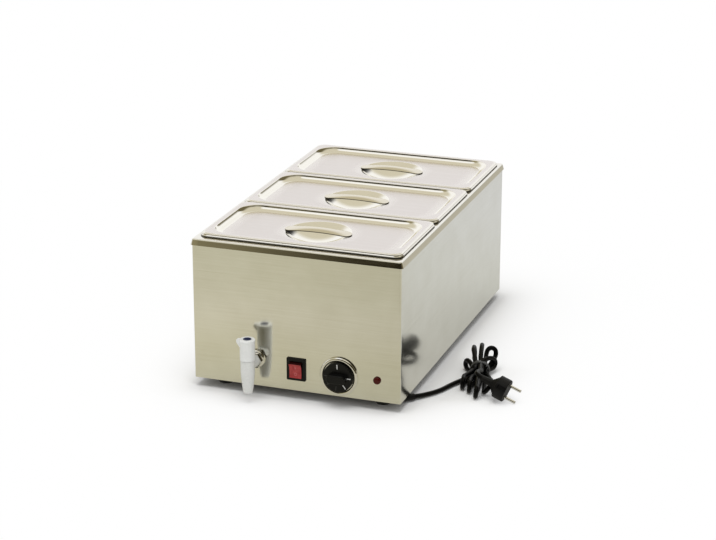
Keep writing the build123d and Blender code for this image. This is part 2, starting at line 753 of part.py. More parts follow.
# Thermostat behind the panel, its threaded bush through it
thermostat_front = front_face + sheet
thermostat_rear = thermostat_front + thermostat_depth
spindle_in = 11.0
half_screw_pitch = thermostat_screw_pitch / 2
blade_z = dial_z - 8
blade_x = [dial_x - 10, dial_x + 10]
with BuildPart() as thermostat_body:
    with BuildSketch(front_plane(dial_x, dial_z, -sheet)):
        RectangleRounded(thermostat_size, thermostat_size, 3)
    extrude(amount=-thermostat_depth)
    with BuildSketch(front_plane(dial_x, dial_z, -sheet)):
        Circle(bush_radius)
    extrude(amount=sheet + bezel_plate)
    with BuildSketch(front_plane(dial_x, dial_z, bezel_plate)):
        Circle(spindle_radius + running_clearance)
    extrude(amount=-(bezel_plate + spindle_in + 1), mode=Mode.SUBTRACT)
    with BuildSketch(front_plane(dial_x, dial_z, -sheet)):
        with Locations((-half_screw_pitch, 0), (half_screw_pitch, 0)):
            Circle(thermostat_screw_radius + thread_clearance)
    extrude(amount=-8, mode=Mode.SUBTRACT)
    with BuildSketch(front_plane(dial_x, blade_z, -sheet - thermostat_depth)):
        with Locations((-10, 0), (10, 0)):
            Rectangle(6.3, 0.8)
    extrude(amount=-10)
thermostat_body.part.label = "thermostat_body"
export_step(thermostat_body.part, "parts/thermostat_body.step")

with BuildPart() as dial_bezel:
    with BuildSketch(turned_plane(dial_x, dial_z)):
        with BuildLine():
            Line((bush_radius + hole_clearance, 0), (bezel_radius, 0))
            Line((bezel_radius, 0), (bezel_radius, 0.3 * bezel_height))
            ThreePointArc(
                (bezel_radius, 0.3 * bezel_height),
                (bezel_radius - 0.45 * bezel_rim, bezel_height),
                (bezel_radius - bezel_rim, 0.5 * bezel_height),
            )
            Line((bezel_radius - bezel_rim, 0.5 * bezel_height), (bezel_radius - bezel_rim, bezel_plate))
            Line((bezel_radius - bezel_rim, bezel_plate), (bush_radius + hole_clearance, bezel_plate))
            Line((bush_radius + hole_clearance, bezel_plate), (bush_radius + hole_clearance, 0))
        make_face()
    revolve(axis=Axis((dial_x, front_face, dial_z), (0, -1, 0)))
    with BuildSketch(front_plane(dial_x, dial_z)):
        with Locations((-half_screw_pitch, 0), (half_screw_pitch, 0)):
            Circle(thermostat_screw_radius + hole_clearance)
    extrude(amount=bezel_plate, mode=Mode.SUBTRACT)
dial_bezel.part.label = "dial_bezel"
export_step(dial_bezel.part, "parts/dial_bezel.step")

with BuildPart() as thermostat_screws:
    with BuildSketch(front_plane(dial_x, dial_z, bezel_plate)):
        with Locations((-half_screw_pitch, 0), (half_screw_pitch, 0)):
            Circle(1.8 * thermostat_screw_radius)
    extrude(amount=1.8)
    with BuildSketch(front_plane(dial_x, dial_z, bezel_plate)):
        with Locations((-half_screw_pitch, 0), (half_screw_pitch, 0)):
            Circle(thermostat_screw_radius)
    extrude(amount=-(bezel_plate + sheet + 6))
thermostat_screws.part.label = "thermostat_screws"
export_step(thermostat_screws.part, "parts/thermostat_screws.step")

knob_back = bezel_plate + knob_gap
spindle_out = knob_face + 0.6 * grip_height
with BuildPart() as dial_knob:
    with BuildSketch(front_plane(dial_x, dial_z, knob_back)):
        Circle(knob_radius)
    extrude(amount=knob_face - knob_back)
    fillet(dial_knob.faces().sort_by(Axis.Y)[0].edges(), 1.2)
    with BuildSketch(front_plane(dial_x, dial_z, knob_face)):
        RectangleRounded(grip_length, grip_width, 0.45 * grip_width)
    extrude(amount=grip_height)
    fillet(dial_knob.faces().sort_by(Axis.Y)[0].edges(), 1.5)
    with BuildSketch(front_plane(dial_x, dial_z, knob_back)):
        Circle(knob_radius - 3)
        Circle(2.5 * spindle_radius, mode=Mode.SUBTRACT)
    extrude(amount=knob_face - knob_back - 2, mode=Mode.SUBTRACT)
    with BuildSketch(front_plane(dial_x, dial_z, knob_back)):
        Circle(spindle_radius + thread_clearance)
    extrude(amount=spindle_out - knob_back, mode=Mode.SUBTRACT)
dial_knob.part.label = "dial_knob"
export_step(dial_knob.part, "parts/dial_knob.step")

with BuildPart() as thermostat_spindle:
    with BuildSketch(front_plane(dial_x, dial_z, spindle_out)):
        Circle(spindle_radius)
    extrude(amount=-(spindle_out + spindle_in))
thermostat_spindle.part.label = "thermostat_spindle"
export_step(thermostat_spindle.part, "parts/thermostat_spindle.step")

# Capillary and bulb: the bulb lies against the tank floor between the inner legs of the element
bulb_z = well_under - bulb_radius
bulb_start = thermostat_rear + bulb_setback
capillary_z = strap_low - capillary_clearance
capillary_path = [
    (dial_x, thermostat_rear, dial_z + capillary_exit),
    (dial_x, thermostat_rear + capillary_straight, capillary_z),
    (0.3 * dial_x, thermostat_rear + capillary_turn, capillary_z),
    (0, thermostat_rear + capillary_climb, bulb_z),
    (0, bulb_start + bulb_radius, bulb_z),
]
capillary_tube = tube(capillary_path, capillary_radius)[0]
with BuildPart() as thermostat_capillary:
    add(capillary_tube)
    with BuildSketch(Plane(origin=(0, bulb_start, bulb_z), x_dir=(1, 0, 0), z_dir=(0, 1, 0))):
        Circle(bulb_radius)
    extrude(amount=bulb_length)
thermostat_capillary.part.label = "thermostat_capillary"
export_step(thermostat_capillary.part, "parts/thermostat_capillary.step")

clip_inside = bulb_radius + hole_clearance
clip_outside = clip_inside + 0.8
with BuildPart() as bulb_clip:
    with BuildSketch(upright_plane(0, bulb_start + 0.3 * bulb_length)):
        with Locations((0, well_under - 0.4)):
            Rectangle(2 * (clip_outside + clip_foot), 0.8)
        with Locations((0, bulb_z)):
            Circle(clip_outside)
        with Locations((0, bulb_z + bulb_radius / 2)):
            Rectangle(2 * clip_outside, bulb_radius)
        with Locations((0, bulb_z)):
            Circle(clip_inside, mode=Mode.SUBTRACT)
        with Locations((0, bulb_z + bulb_radius)):
            Rectangle(2 * clip_inside, 2 * bulb_radius, mode=Mode.SUBTRACT)
        with Locations((0, well_under + clip_outside)):
            Rectangle(4 * clip_outside, 2 * clip_outside, mode=Mode.SUBTRACT)
    extrude(amount=-10)
bulb_clip.part.label = "bulb_clip"
export_step(bulb_clip.part, "parts/bulb_clip.step")

# Switch: housing snapped into the panel, rocker on two trunnions
pivot_y = front_face + rocker_pivot_depth
switch_rear = front_face + sheet + switch_body_depth
slot_width = rocker_width + 2 * rocker_gap
slot_height = rocker_height + 5 * rocker_gap
with BuildPart() as switch_housing:
    with BuildSketch(front_plane(switch_x, switch_z)):
        RectangleRounded(switch_frame_width, switch_frame_height, 2)
    extrude(amount=switch_frame_depth)
    fillet(switch_housing.faces().sort_by(Axis.Y)[0].edges(), 1.0)
    with BuildSketch(front_plane(switch_x, switch_z)):
        Rectangle(switch_body_width, switch_body_height)
    extrude(amount=-(sheet + switch_body_depth))
    with BuildSketch(front_plane(switch_x, switch_z, switch_frame_depth)):
        Rectangle(slot_width, slot_height)
    extrude(amount=-(switch_frame_depth + rocker_pivot_depth + 9), mode=Mode.SUBTRACT)
    with BuildSketch(Plane(origin=(switch_x, pivot_y, switch_z), x_dir=(0, 1, 0), z_dir=(1, 0, 0))):
        Circle(rocker_pin_radius + running_clearance)
    extrude(amount=switch_body_width / 2, both=True, mode=Mode.SUBTRACT)
switch_housing.part.label = "switch_housing"
export_step(switch_housing.part, "parts/switch_housing.step")

switch_blade_z = [switch_z + step * 9 for step in (-1, 0, 1)]
with BuildPart() as switch_terminals:
    with BuildSketch(front_plane(switch_x, switch_z, -sheet - switch_body_depth)):
        with Locations((0, -9), (0, 0), (0, 9)):
            Rectangle(6.3, 0.8)
    extrude(amount=-8)
switch_terminals.part.label = "switch_terminals"
export_step(switch_terminals.part, "parts/switch_terminals.step")

rocker_lean = radians(rocker_tilt)
rocker_plane = Plane(
    origin=(switch_x + rocker_width / 2, pivot_y, switch_z),
    x_dir=(0, -cos(rocker_lean), -sin(rocker_lean)),
    z_dir=(-1, 0, 0),
)
rocker_end = rocker_height / 2
rocker_proud = switch_frame_depth + rocker_pivot_depth + 4.6
with BuildPart() as rocker:
    with BuildSketch(rocker_plane):
        with BuildLine():
            Line((-1, -rocker_end), (rocker_proud, -rocker_end))
            ThreePointArc((rocker_proud, -rocker_end), (rocker_proud - 2.2, 0), (rocker_proud, rocker_end))
            Line((rocker_proud, rocker_end), (-1, rocker_end))
            Line((-1, rocker_end), (-5, 0.45 * rocker_end))
            Line((-5, 0.45 * rocker_end), (-5, -0.45 * rocker_end))
            Line((-5, -0.45 * rocker_end), (-1, -rocker_end))
        make_face()
    extrude(amount=rocker_width)
    with BuildSketch(Plane(origin=(switch_x, pivot_y, switch_z), x_dir=(0, 1, 0), z_dir=(1, 0, 0))):
        Circle(rocker_pin_radius)
    extrude(amount=switch_body_width / 2 - 0.2, both=True)
rocker.part.label = "rocker"
export_step(rocker.part, "parts/rocker.step")

# Lamp
with BuildPart() as lamp_lens:
    with BuildSketch(turned_plane(lamp_x, lamp_z)):
        with BuildLine():
            Line((0, lamp_height), (0, 0))
            Line((0, 0), (lamp_radius, 0))
            Line((lamp_radius, 0), (lamp_radius, 0.35 * lamp_height))
            ThreePointArc(
                (lamp_radius, 0.35 * lamp_height),
                (0.8 * lamp_radius, 0.78 * lamp_height),
                (0.3 * lamp_radius, lamp_height),
            )
            Line((0.3 * lamp_radius, lamp_height), (0, lamp_height))
        make_face()
    revolve(axis=Axis((lamp_x, front_face, lamp_z), (0, -1, 0)))
lamp_lens.part.label = "lamp_lens"
export_step(lamp_lens.part, "parts/lamp_lens.step")

with BuildPart() as lamp_body:
    with BuildSketch(front_plane(lamp_x, lamp_z)):
        Circle(lamp_body_radius)
    extrude(amount=-lamp_body_depth)
    with BuildSketch(front_plane(lamp_x, lamp_z, -lamp_body_depth)):
        with Locations((-2, 0), (2, 0)):
            Circle(0.8)
    extrude(amount=-6)
lamp_body.part.label = "lamp_body"
export_step(lamp_body.part, "parts/lamp_body.step")

with BuildPart() as lamp_nut:
    with BuildSketch(front_plane(lamp_x, lamp_z, -sheet)):
        RegularPolygon(1.45 * lamp_body_radius, 6, major_radius=False)
        Circle(lamp_body_radius + thread_clearance, mode=Mode.SUBTRACT)
    extrude(amount=-3.5)
lamp_nut.part.label = "lamp_nut"
export_step(lamp_nut.part, "parts/lamp_nut.step")

# Terminal block and earth stud on the base plate
block_x = 100.0
block_y = front_face + 90.0
block_length = 38.0
block_width = 20.0
block_height = 16.0
way_pitch = 12.0
way_z = base_top + 6.0
earth_place = (block_x + 25.0, block_y + 52.0)
with BuildPart() as terminal_block:
    with BuildSketch(Plane(origin=(block_x, block_y, base_top))):
        RectangleRounded(block_length, block_width, 1.5)
    extrude(amount=block_height)
    with BuildSketch(Plane(origin=(block_x, block_y, base_top + block_height))):
        with GridLocations(way_pitch, 10, 3, 2):
            Circle(1.9)
    extrude(amount=-5, mode=Mode.SUBTRACT)
    with BuildSketch(Plane(origin=(block_x, block_y + block_width / 2, way_z), x_dir=(1, 0, 0), z_dir=(0, -1, 0))):
        with GridLocations(way_pitch, 10, 3, 1):
            Circle(wire_radius + hole_clearance)
    extrude(amount=block_width, mode=Mode.SUBTRACT)
terminal_block.part.label = "terminal_block"
export_step(terminal_block.part, "parts/terminal_block.step")

with BuildPart() as earth_stud:
    with BuildSketch(Plane(origin=(*earth_place, base_top))):
        Circle(stud_radius)
    extrude(amount=16)
    with BuildSketch(Plane(origin=(*earth_place, base_top + 8))):
        RegularPolygon(1.6 * stud_radius, 6, major_radius=False)
    extrude(amount=4)
earth_stud.part.label = "earth_stud"
export_step(earth_stud.part, "parts/earth_stud.step")

# Wiring: mains cores from the strain relief to the block, then on to the parts
block_front = block_y - 4
block_back = block_y + 4
core_z = base_top + 12
run_z = base_top + 12
live_x = block_x - way_pitch
earth_x = block_x + way_pitch
live_runs = [
    [
        (boot_x + 1.6, boot_y - 0.9, base_top + 1),
        (boot_x + 1.6, boot_y - 0.9, core_z + 8),
        (live_x, boot_y + 6, core_z + 8),
        (live_x, boot_y + 24, way_z),
        (live_x, block_front, way_z),
    ],
    [
        (live_x, block_back, way_z),
        (live_x, block_y + wire_turn, way_z),
        (switch_x + wire_turn, block_y + wire_turn, run_z),
        (switch_x, switch_rear + 40, switch_blade_z[2]),
        (switch_x, switch_rear + 8, switch_blade_z[2]),
    ],
    [
        (switch_x, switch_rear + 8, switch_blade_z[0]),
        (switch_x, switch_rear + 24, switch_blade_z[0]),
        (blade_x[0], thermostat_rear + 24, blade_z),
        (blade_x[0], thermostat_rear + 10, blade_z),
    ],
    [
        (blade_x[1], thermostat_rear + 10, blade_z),
        (blade_x[1], thermostat_rear + 24, blade_z),
        (element_outer, element_pin_end - 16, 0.5 * (blade_z + element_z)),
        (element_outer, element_pin_end - 10, element_z),
        (element_outer, element_pin_end, element_z),
    ],
    [
        (lamp_x - 2, front_face + lamp_body_depth + 6, lamp_z),
        (lamp_x - 2, front_face + lamp_body_depth + 20, lamp_z),
        (blade_x[1], thermostat_rear + 24, blade_z),
        (blade_x[1], thermostat_rear + 10, blade_z),
    ],
]
neutral_runs = [
    [
        (boot_x - 1.6, boot_y - 0.9, base_top + 1),
        (boot_x - 1.6, boot_y - 0.9, core_z + 4),
        (block_x, boot_y + 9, core_z + 4),
        (block_x, boot_y + 24, way_z),
        (block_x, block_front, way_z),
    ],
    [
        (block_x, block_back, way_z),
        (block_x, block_y + 18, way_z),
        (block_x, block_y + 40, run_z),
        (-element_outer, block_y + 40, run_z),
        (-element_outer, element_pin_end - 14, run_z),
        (-element_outer, element_pin_end - 14, element_z),
        (-element_outer, element_pin_end, element_z),
    ],
    [
        (lamp_x + 2, front_face + lamp_body_depth + 6, lamp_z),
        (lamp_x + 2, block_y + 20, lamp_z),
        (lamp_x - 10, block_y + 40, run_z),
        (block_x - 16, block_y + 40, run_z),
    ],
]
earth_runs = [
    [
        (boot_x, boot_y + 1.8, base_top + 1),
        (boot_x, boot_y + 1.8, core_z),
        (earth_x, boot_y + 12, core_z),
        (earth_x, boot_y + 24, way_z),
        (earth_x, block_front, way_z),
    ],
    [
        (earth_x, block_back, way_z),
        (earth_x, block_y + wire_turn, way_z),
        (earth_place[0], earth_place[1] - stud_radius - 10, way_z - 2),
        (earth_place[0], earth_place[1] - stud_radius, way_z - 2),
    ],
]
with BuildPart() as wiring_live:
    for run in live_runs:
        with BuildLine() as wire:
            FilletPolyline(*run, radius=[min(8, radius) for radius in bend_radii(run)])
        with BuildSketch(Plane(origin=run[0], z_dir=Vector(*run[1]) - Vector(*run[0]))):
            Circle(wire_radius)
        sweep(path=wire.line)
wiring_live.part.label = "wiring_live"
export_step(wiring_live.part, "parts/wiring_live.step")

with BuildPart() as wiring_neutral:
    for run in neutral_runs:
        with BuildLine() as wire:
            FilletPolyline(*run, radius=[min(8, radius) for radius in bend_radii(run)])
        with BuildSketch(Plane(origin=run[0], z_dir=Vector(*run[1]) - Vector(*run[0]))):
            Circle(wire_radius)
        sweep(path=wire.line)
wiring_neutral.part.label = "wiring_neutral"
export_step(wiring_neutral.part, "parts/wiring_neutral.step")

with BuildPart() as wiring_earth:
    for run in earth_runs:
        with BuildLine() as wire:
            FilletPolyline(*run, radius=[min(8, radius) for radius in bend_radii(run)])
        with BuildSketch(Plane(origin=run[0], z_dir=Vector(*run[1]) - Vector(*run[0]))):
            Circle(wire_radius)
        sweep(path=wire.line)
wiring_earth.part.label = "wiring_earth"
export_step(wiring_earth.part, "parts/wiring_earth.step")

# Strain relief: through the base plate, then a leg towards the right-hand edge
leg = Vector(0.8, 0.6, 0)
leg_length = 26.0
elbow = Vector(boot_x, boot_y, boot_height)
leg_tip = elbow + leg * leg_length
with BuildPart() as strain_relief:
    with BuildSketch(Plane(origin=(boot_x, boot_y, base_top))):
        Circle(boot_radius + boot_collar)
    extrude(amount=3)
    with BuildSketch(Plane(origin=(boot_x, boot_y, base_top))):
        Circle(boot_radius)
    extrude(amount=boot_height - base_top)
    with BuildSketch(Plane(origin=(boot_x, boot_y, base_low))):
        Circle(boot_radius + boot_collar)
    extrude(amount=-2)
    with Locations((boot_x, boot_y, boot_height)):
        Sphere(boot_radius + 0.4)
    with BuildSketch(Plane(origin=elbow, z_dir=leg)):
        Circle(boot_radius)
    extrude(amount=leg_length, taper=2.6)
    with BuildSketch(Plane(origin=leg_tip, z_dir=leg)):
        Circle(cord_radius)
    extrude(amount=-16, mode=Mode.SUBTRACT)
    with BuildSketch(Plane(origin=(boot_x, boot_y, base_top + 3))):
        Circle(cord_radius)
    extrude(amount=-8, mode=Mode.SUBTRACT)
strain_relief.part.label = "strain_relief"
export_step(strain_relief.part, "parts/strain_relief.step")

# Mains cord: a lead from the strain relief to the hank, and a short one from the hank to the plug
cord_start = leg_tip - leg * 15.5
cord_points = [
    (cord_start.X, cord_start.Y, cord_start.Z),
    (182.5, -182.0, 4.6),
    (205.5, -122.0, 3.9),
    (224.0, -92.0, 6.0),
]
cord_tube, cord_length = tube(cord_points, cord_radius)
cord_radii = bend_radii(cord_points)
print("cord bend radii", [round(radius, 1) for radius in cord_radii])
print("cord volume ratio", round(cord_tube.volume / (pi * cord_radius**2 * cord_length), 4))
with BuildPart() as power_cord:
    add(cord_tube)
power_cord.part.label = "power_cord"
export_step(power_cord.part, "parts/power_cord.step")

# Plug: lies on its rim, pins down to the right
plug_out = Vector(0.936, -0.082, -0.342).normalized()
plug_across = Vector(-0.3415, -0.4471, -0.8268)
plug_face = Vector(306.0, -153.5, 17.3)
head_back = plug_face - plug_out * plug_head
neck_start = head_back - plug_out * plug_taper
neck_end = neck_start - plug_out * plug_sleeve
sleeve_radius = cord_radius + 2.5
with BuildPart() as plug_body:
    with BuildSketch(Plane(origin=plug_face, x_dir=plug_across, z_dir=plug_out)):
        Circle(plug_radius)
    extrude(amount=-plug_head)
    fillet(plug_body.edges(), 1.5)
    with BuildSketch(Plane(origin=head_back, x_dir=plug_across, z_dir=plug_out)):
        Circle(0.86 * plug_radius)
    with BuildSketch(Plane(origin=neck_start, x_dir=plug_across, z_dir=plug_out)):
        Circle(sleeve_radius)
    loft()
    with BuildSketch(Plane(origin=neck_start, x_dir=plug_across, z_dir=plug_out)):
        Circle(sleeve_radius)
    with BuildSketch(Plane(origin=neck_end, x_dir=plug_across, z_dir=plug_out)):
        Circle(cord_radius + 1.0)
    loft()
    with BuildSketch(Plane(origin=neck_end, x_dir=plug_across, z_dir=plug_out)):
        Circle(cord_radius)
    extrude(amount=8, mode=Mode.SUBTRACT)
    with BuildSketch(Plane(origin=plug_face, x_dir=plug_across, z_dir=plug_out)):
        with Locations((0, plug_radius), (0, -plug_radius)):
            Rectangle(6, 5)
    extrude(amount=-(plug_head - 3), mode=Mode.SUBTRACT)
plug_body.part.label = "plug_body"
export_step(plug_body.part, "parts/plug_body.step")

with BuildPart() as plug_pins:
    with BuildSketch(Plane(origin=plug_face, x_dir=plug_across, z_dir=plug_out)):
        with Locations((-pin_pitch / 2, 0), (pin_pitch / 2, 0)):
            Circle(pin_radius)
    extrude(amount=pin_length)
    fillet(plug_pins.faces().filter_by(GeomType.PLANE).sort_by(Axis.X)[-2:].edges(), 1.2)
plug_pins.part.label = "plug_pins"
export_step(plug_pins.part, "parts/plug_pins.step")

lead_start = neck_end + plug_out * 7.5
lead_points = [
    (lead_start.X, lead_start.Y, lead_start.Z),
    (252.0, -148.8, 36.6),
    (242.5, -137.0, 35.0),
    (240.5, -118.0, 28.0),
    (241.5, -100.0, 20.0),
]
lead_tube, lead_length = tube(lead_points, cord_radius)
lead_radii = bend_radii(lead_points)
print("plug lead bend radii", [round(radius, 1) for radius in lead_radii])
print("plug lead volume ratio", round(lead_tube.volume / (pi * cord_radius**2 * lead_length), 4))
with BuildPart() as plug_lead:
    add(lead_tube)
plug_lead.part.label = "plug_lead"
export_step(plug_lead.part, "parts/plug_lead.step")

# Hank: the folded cord as one outer shape, from its near end to its far end, with a waist at the tie
hank_near = Vector(262.0, -173.0, 0)
hank_far = Vector(222.0, 5.0, 0)
hank_way = (hank_far - hank_near).normalized()
hank_across = Vector(hank_way.Y, -hank_way.X, 0)
waist = (0.53, 0.59, 14.0, 12.5)
hank_sections = [
    (0.0, 10.0, 6.0),
    (0.12, 23.0, 10.0),
    (0.35, 22.0, 12.0),
    (waist[0], waist[2], waist[3]),
    (waist[1], waist[2], waist[3]),
    (0.72, 20.0, 13.0),
    (0.9, 20.0, 14.0),
    (1.0, 9.0, 8.0),
]
tie_wall = 1.2
with BuildPart() as cord_hank:
    for along, half_width, half_height in hank_sections:
        place = hank_near + (hank_far - hank_near) * along + Vector(0, 0, half_height + tie_wall + 0.3)
        with BuildSketch(Plane(origin=place, x_dir=hank_across, z_dir=hank_way)):
            Ellipse(half_width, half_height)
    loft(ruled=True)
cord_hank.part.label = "cord_hank"
export_step(cord_hank.part, "parts/cord_hank.step")

tie_place = hank_near + (hank_far - hank_near) * (waist[0] + waist[1]) / 2
tie_place += Vector(0, 0, waist[3] + tie_wall + 0.3)
with BuildPart() as cord_tie:
    with BuildSketch(Plane(origin=tie_place, x_dir=hank_across, z_dir=hank_way)):
        Ellipse(waist[2] + tie_wall, waist[3] + tie_wall)
        Ellipse(waist[2], waist[3], mode=Mode.SUBTRACT)
    extrude(amount=4.5, both=True)
cord_tie.part.label = "cord_tie"
export_step(cord_tie.part, "parts/cord_tie.step")
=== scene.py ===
import math

import bpy
import numpy as np
from mathutils import Matrix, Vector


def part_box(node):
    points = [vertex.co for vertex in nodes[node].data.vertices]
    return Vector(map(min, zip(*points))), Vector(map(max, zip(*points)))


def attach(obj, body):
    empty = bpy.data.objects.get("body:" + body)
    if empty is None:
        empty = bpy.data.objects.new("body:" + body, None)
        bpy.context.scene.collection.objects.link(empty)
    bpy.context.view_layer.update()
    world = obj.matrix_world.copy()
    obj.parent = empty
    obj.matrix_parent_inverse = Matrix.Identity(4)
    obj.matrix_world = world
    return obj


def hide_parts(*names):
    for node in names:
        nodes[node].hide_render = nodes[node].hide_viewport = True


# Electric bain-marie with three lidded pans, a drain tap and a tied mains cord
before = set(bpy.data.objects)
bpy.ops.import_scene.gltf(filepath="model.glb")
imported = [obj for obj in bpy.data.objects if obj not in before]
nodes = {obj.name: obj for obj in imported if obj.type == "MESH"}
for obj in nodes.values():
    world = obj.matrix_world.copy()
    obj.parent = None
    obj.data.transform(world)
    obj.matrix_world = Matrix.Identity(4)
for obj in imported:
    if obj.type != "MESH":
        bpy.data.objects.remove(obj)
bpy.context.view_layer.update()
scene = bpy.context.scene
scene.view_settings.view_transform = "Standard"
mm = 0.001
sharpAngle = math.radians(38)  # faces that meet at more than this keep a crisp edge


def linear(hexCode):  # sRGB hex to linear RGBA
    value = np.array([int(hexCode[i:i + 2], 16) for i in (1, 3, 5)]) / 255
    value = np.where(value <= 0.04045, value / 12.92, ((value + 0.055) / 1.055) ** 2.4)
    return (*value.tolist(), 1.0)


def grey(value):
    return (value, value, value, 1.0)


def patternScale(*sizes):  # scale on each axis of a pattern with these sizes in mm
    return tuple(1 / (size * mm) for size in sizes)


def addNode(tree, kind, settings=None, values=None, links=None, stops=None):
    # a node with its settings, socket values, incoming links and, on a ramp, its (place, colour) stops
    node = tree.nodes.new(kind)
    for key, value in (settings or {}).items():
        setattr(node, key, value)
    for key, value in (values or {}).items():
        node.inputs[key].default_value = value
    for key, socket in (links or {}).items():
        tree.links.new(socket, node.inputs[key])
    if stops:
        elements = node.color_ramp.elements
        elements.remove(elements[1])
        elements[0].position, elements[0].color = stops[0]
        for place, colour in stops[1:]:
            elements.new(place).color = colour
    return node


def startMaterial(name):
    material = bpy.data.materials.new(name)
    material.use_nodes = True
    material.node_tree.nodes.clear()
    return material, material.node_tree


def roundedRing(halfLength, halfWidth, corner, runs=(36, 16), arcPoints=12):
    # anticlockwise round a rectangle: a quarter arc at each corner, then an even straight run to the next arc
    arcs = []
    for signX, signY, start in ((1, 1, 0), (-1, 1, 90), (-1, -1, 180), (1, -1, 270)):
        angle = np.radians(np.linspace(start, start + 90, arcPoints))
        arcs.append(np.stack([
            signX * (halfLength - corner) + corner * np.cos(angle),
            signY * (halfWidth - corner) + corner * np.sin(angle),
        ], axis=1))
    path = []
    for arc, nextArc, run in zip(arcs, arcs[1:] + arcs[:1], runs + runs):
        share = np.linspace(0, 1, run + 2)[1:-1, None]
        path += [arc, arc[-1] * (1 - share) + nextArc[0] * share]
    return np.concatenate(path)


def atLevel(ring, level):  # plan points raised to one height
    return np.column_stack([ring, np.full(len(ring), level)])


def ringPiece(name, rings, material, body, replaced=None, loop=False, finish=None):
    # a closed skin: each ring is joined to the next by four-sided faces, and the ends are capped or joined;
    # finish holds one value for each point under the name of the attribute that the material reads
    count, around = rings.shape[:2]
    index = np.arange(count * around).reshape(count, around)
    chain = np.concatenate([index, index[:1]]) if loop else index
    beside = np.roll(chain, -1, axis=1)
    faces = np.stack([chain[:-1], beside[:-1], beside[1:], chain[1:]], axis=-1).reshape(-1, 4).tolist()
    if not loop:
        faces += [index[0][::-1].tolist(), index[-1].tolist()]
    mesh = bpy.data.meshes.new(name)
    mesh.from_pydata((rings.reshape(-1, 3) * mm).tolist(), [], faces)
    mesh.shade_smooth()
    mesh.set_sharp_from_angle(angle=sharpAngle)
    for attribute, values in (finish or {}).items():
        layer = mesh.attributes.new(attribute, "FLOAT", "POINT")
        layer.data.foreach_set("value", values.astype(np.float32).ravel())
    mesh.materials.append(material)
    piece = bpy.data.objects.new(name, mesh)
    scene.collection.objects.link(piece)
    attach(piece, body)
    if replaced:
        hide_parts(replaced)


# Camera at the photograph's place
cameraFacts = {
    "place": (1.0720, -3.02255, 1.2451),
    "azimuth": 19.334,
    "elevation": 19.228,
    "roll": 0.076,
    "lens": 105.85,
    "sensor": 36.0,
    "reach": 50.0,
}
azimuth = math.radians(cameraFacts["azimuth"])
elevation = math.radians(cameraFacts["elevation"])
back = np.array([
    math.sin(azimuth) * math.cos(elevation),
    -math.cos(azimuth) * math.cos(elevation),
    math.sin(elevation),
])
right = np.array([math.cos(azimuth), math.sin(azimuth), 0.0])
aim = Matrix(np.stack([right, np.cross(back, right), back], axis=1).tolist()).to_4x4()
roll = Matrix.Rotation(math.radians(cameraFacts["roll"]), 4, "Z")
cameraData = bpy.data.cameras.new("camera")
cameraData.lens = cameraFacts["lens"]
cameraData.sensor_width = cameraFacts["sensor"]
cameraData.clip_end = cameraFacts["reach"]
camera = bpy.data.objects.new("camera", cameraData)
scene.collection.objects.link(camera)
camera.matrix_world = Matrix.Translation(cameraFacts["place"]) @ aim @ roll
scene.camera = camera
print("camera set")

# Stainless sheet with a fine level grain: half mirror, with reflections drawn out upright
brushedSteel, tree = startMaterial("brushed stainless steel")
coords = addNode(tree, "ShaderNodeTexCoord").outputs["Object"]
grainCoords = addNode(tree, "ShaderNodeMapping", links={"Vector": coords}, values={
    "Scale": patternScale(111.0, 111.0, 0.714),  # lines set wider than the real grit's, so that they show
})
grain = addNode(tree, "ShaderNodeTexNoise", links={"Vector": grainCoords.outputs[0]}, values={
    "Scale": 1.0, "Detail": 4.0, "Roughness": 0.6,
})
patch = addNode(tree, "ShaderNodeTexNoise", links={"Vector": coords}, values={
    "Scale": patternScale(45.5)[0], "Detail": 3.0,
})
mixed = addNode(tree, "ShaderNodeMix", {"data_type": "FLOAT"}, {0: 0.4}, {
    2: grain.outputs["Fac"], 3: patch.outputs["Fac"],
})
tint = addNode(tree, "ShaderNodeValToRGB", links={"Fac": mixed.outputs[0]}, stops=[
    (0.35, linear("#F0EFE5")), (0.65, linear("#FBFBF4")),
])
gloss = addNode(tree, "ShaderNodeMapRange", links={"Value": mixed.outputs[0]}, values={
    "From Min": 0.3, "From Max": 0.7, "To Min": 0.12, "To Max": 0.15,
})
bump = addNode(tree, "ShaderNodeBump", links={"Height": grain.outputs["Fac"]}, values={
    "Strength": 0.05, "Distance": 0.1 * mm,
})
tangent = addNode(tree, "ShaderNodeTangent", {"direction_type": "RADIAL", "axis": "Z"})
shader = addNode(tree, "ShaderNodeBsdfPrincipled", values={
    "Metallic": 1.0, "Anisotropic": 0.55, "Anisotropic Rotation": 0.25,
}, links={
    "Base Color": tint.outputs[0], "Roughness": gloss.outputs[0], "Normal": bump.outputs[0],
    "Tangent": tangent.outputs[0],
})
addNode(tree, "ShaderNodeOutputMaterial", links={"Surface": shader.outputs[0]})

# Stainless sheet, drawn and satin finished: soft, bright reflections with a faint grain
satinSteel, tree = startMaterial("satin stainless steel")
coords = addNode(tree, "ShaderNodeTexCoord").outputs["Object"]
grainCoords = addNode(tree, "ShaderNodeMapping", links={"Vector": coords}, values={
    "Scale": patternScale(83.3, 1.429, 5.0),  # drawn coarse, so that it shows
})
grain = addNode(tree, "ShaderNodeTexNoise", links={"Vector": grainCoords.outputs[0]}, values={
    "Scale": 1.0, "Detail": 4.0,
})
tint = addNode(tree, "ShaderNodeValToRGB", links={"Fac": grain.outputs["Fac"]}, stops=[
    (0.3, linear("#EAE7DF")), (0.7, linear("#F1EEE7")),
])
gloss = addNode(tree, "ShaderNodeMapRange", links={"Value": grain.outputs["Fac"]}, values={
    "From Min": 0.3, "From Max": 0.7, "To Min": 0.08, "To Max": 0.12,
})
shader = addNode(tree, "ShaderNodeBsdfPrincipled", values={"Metallic": 1.0}, links={
    "Base Color": tint.outputs[0], "Roughness": gloss.outputs[0],
})
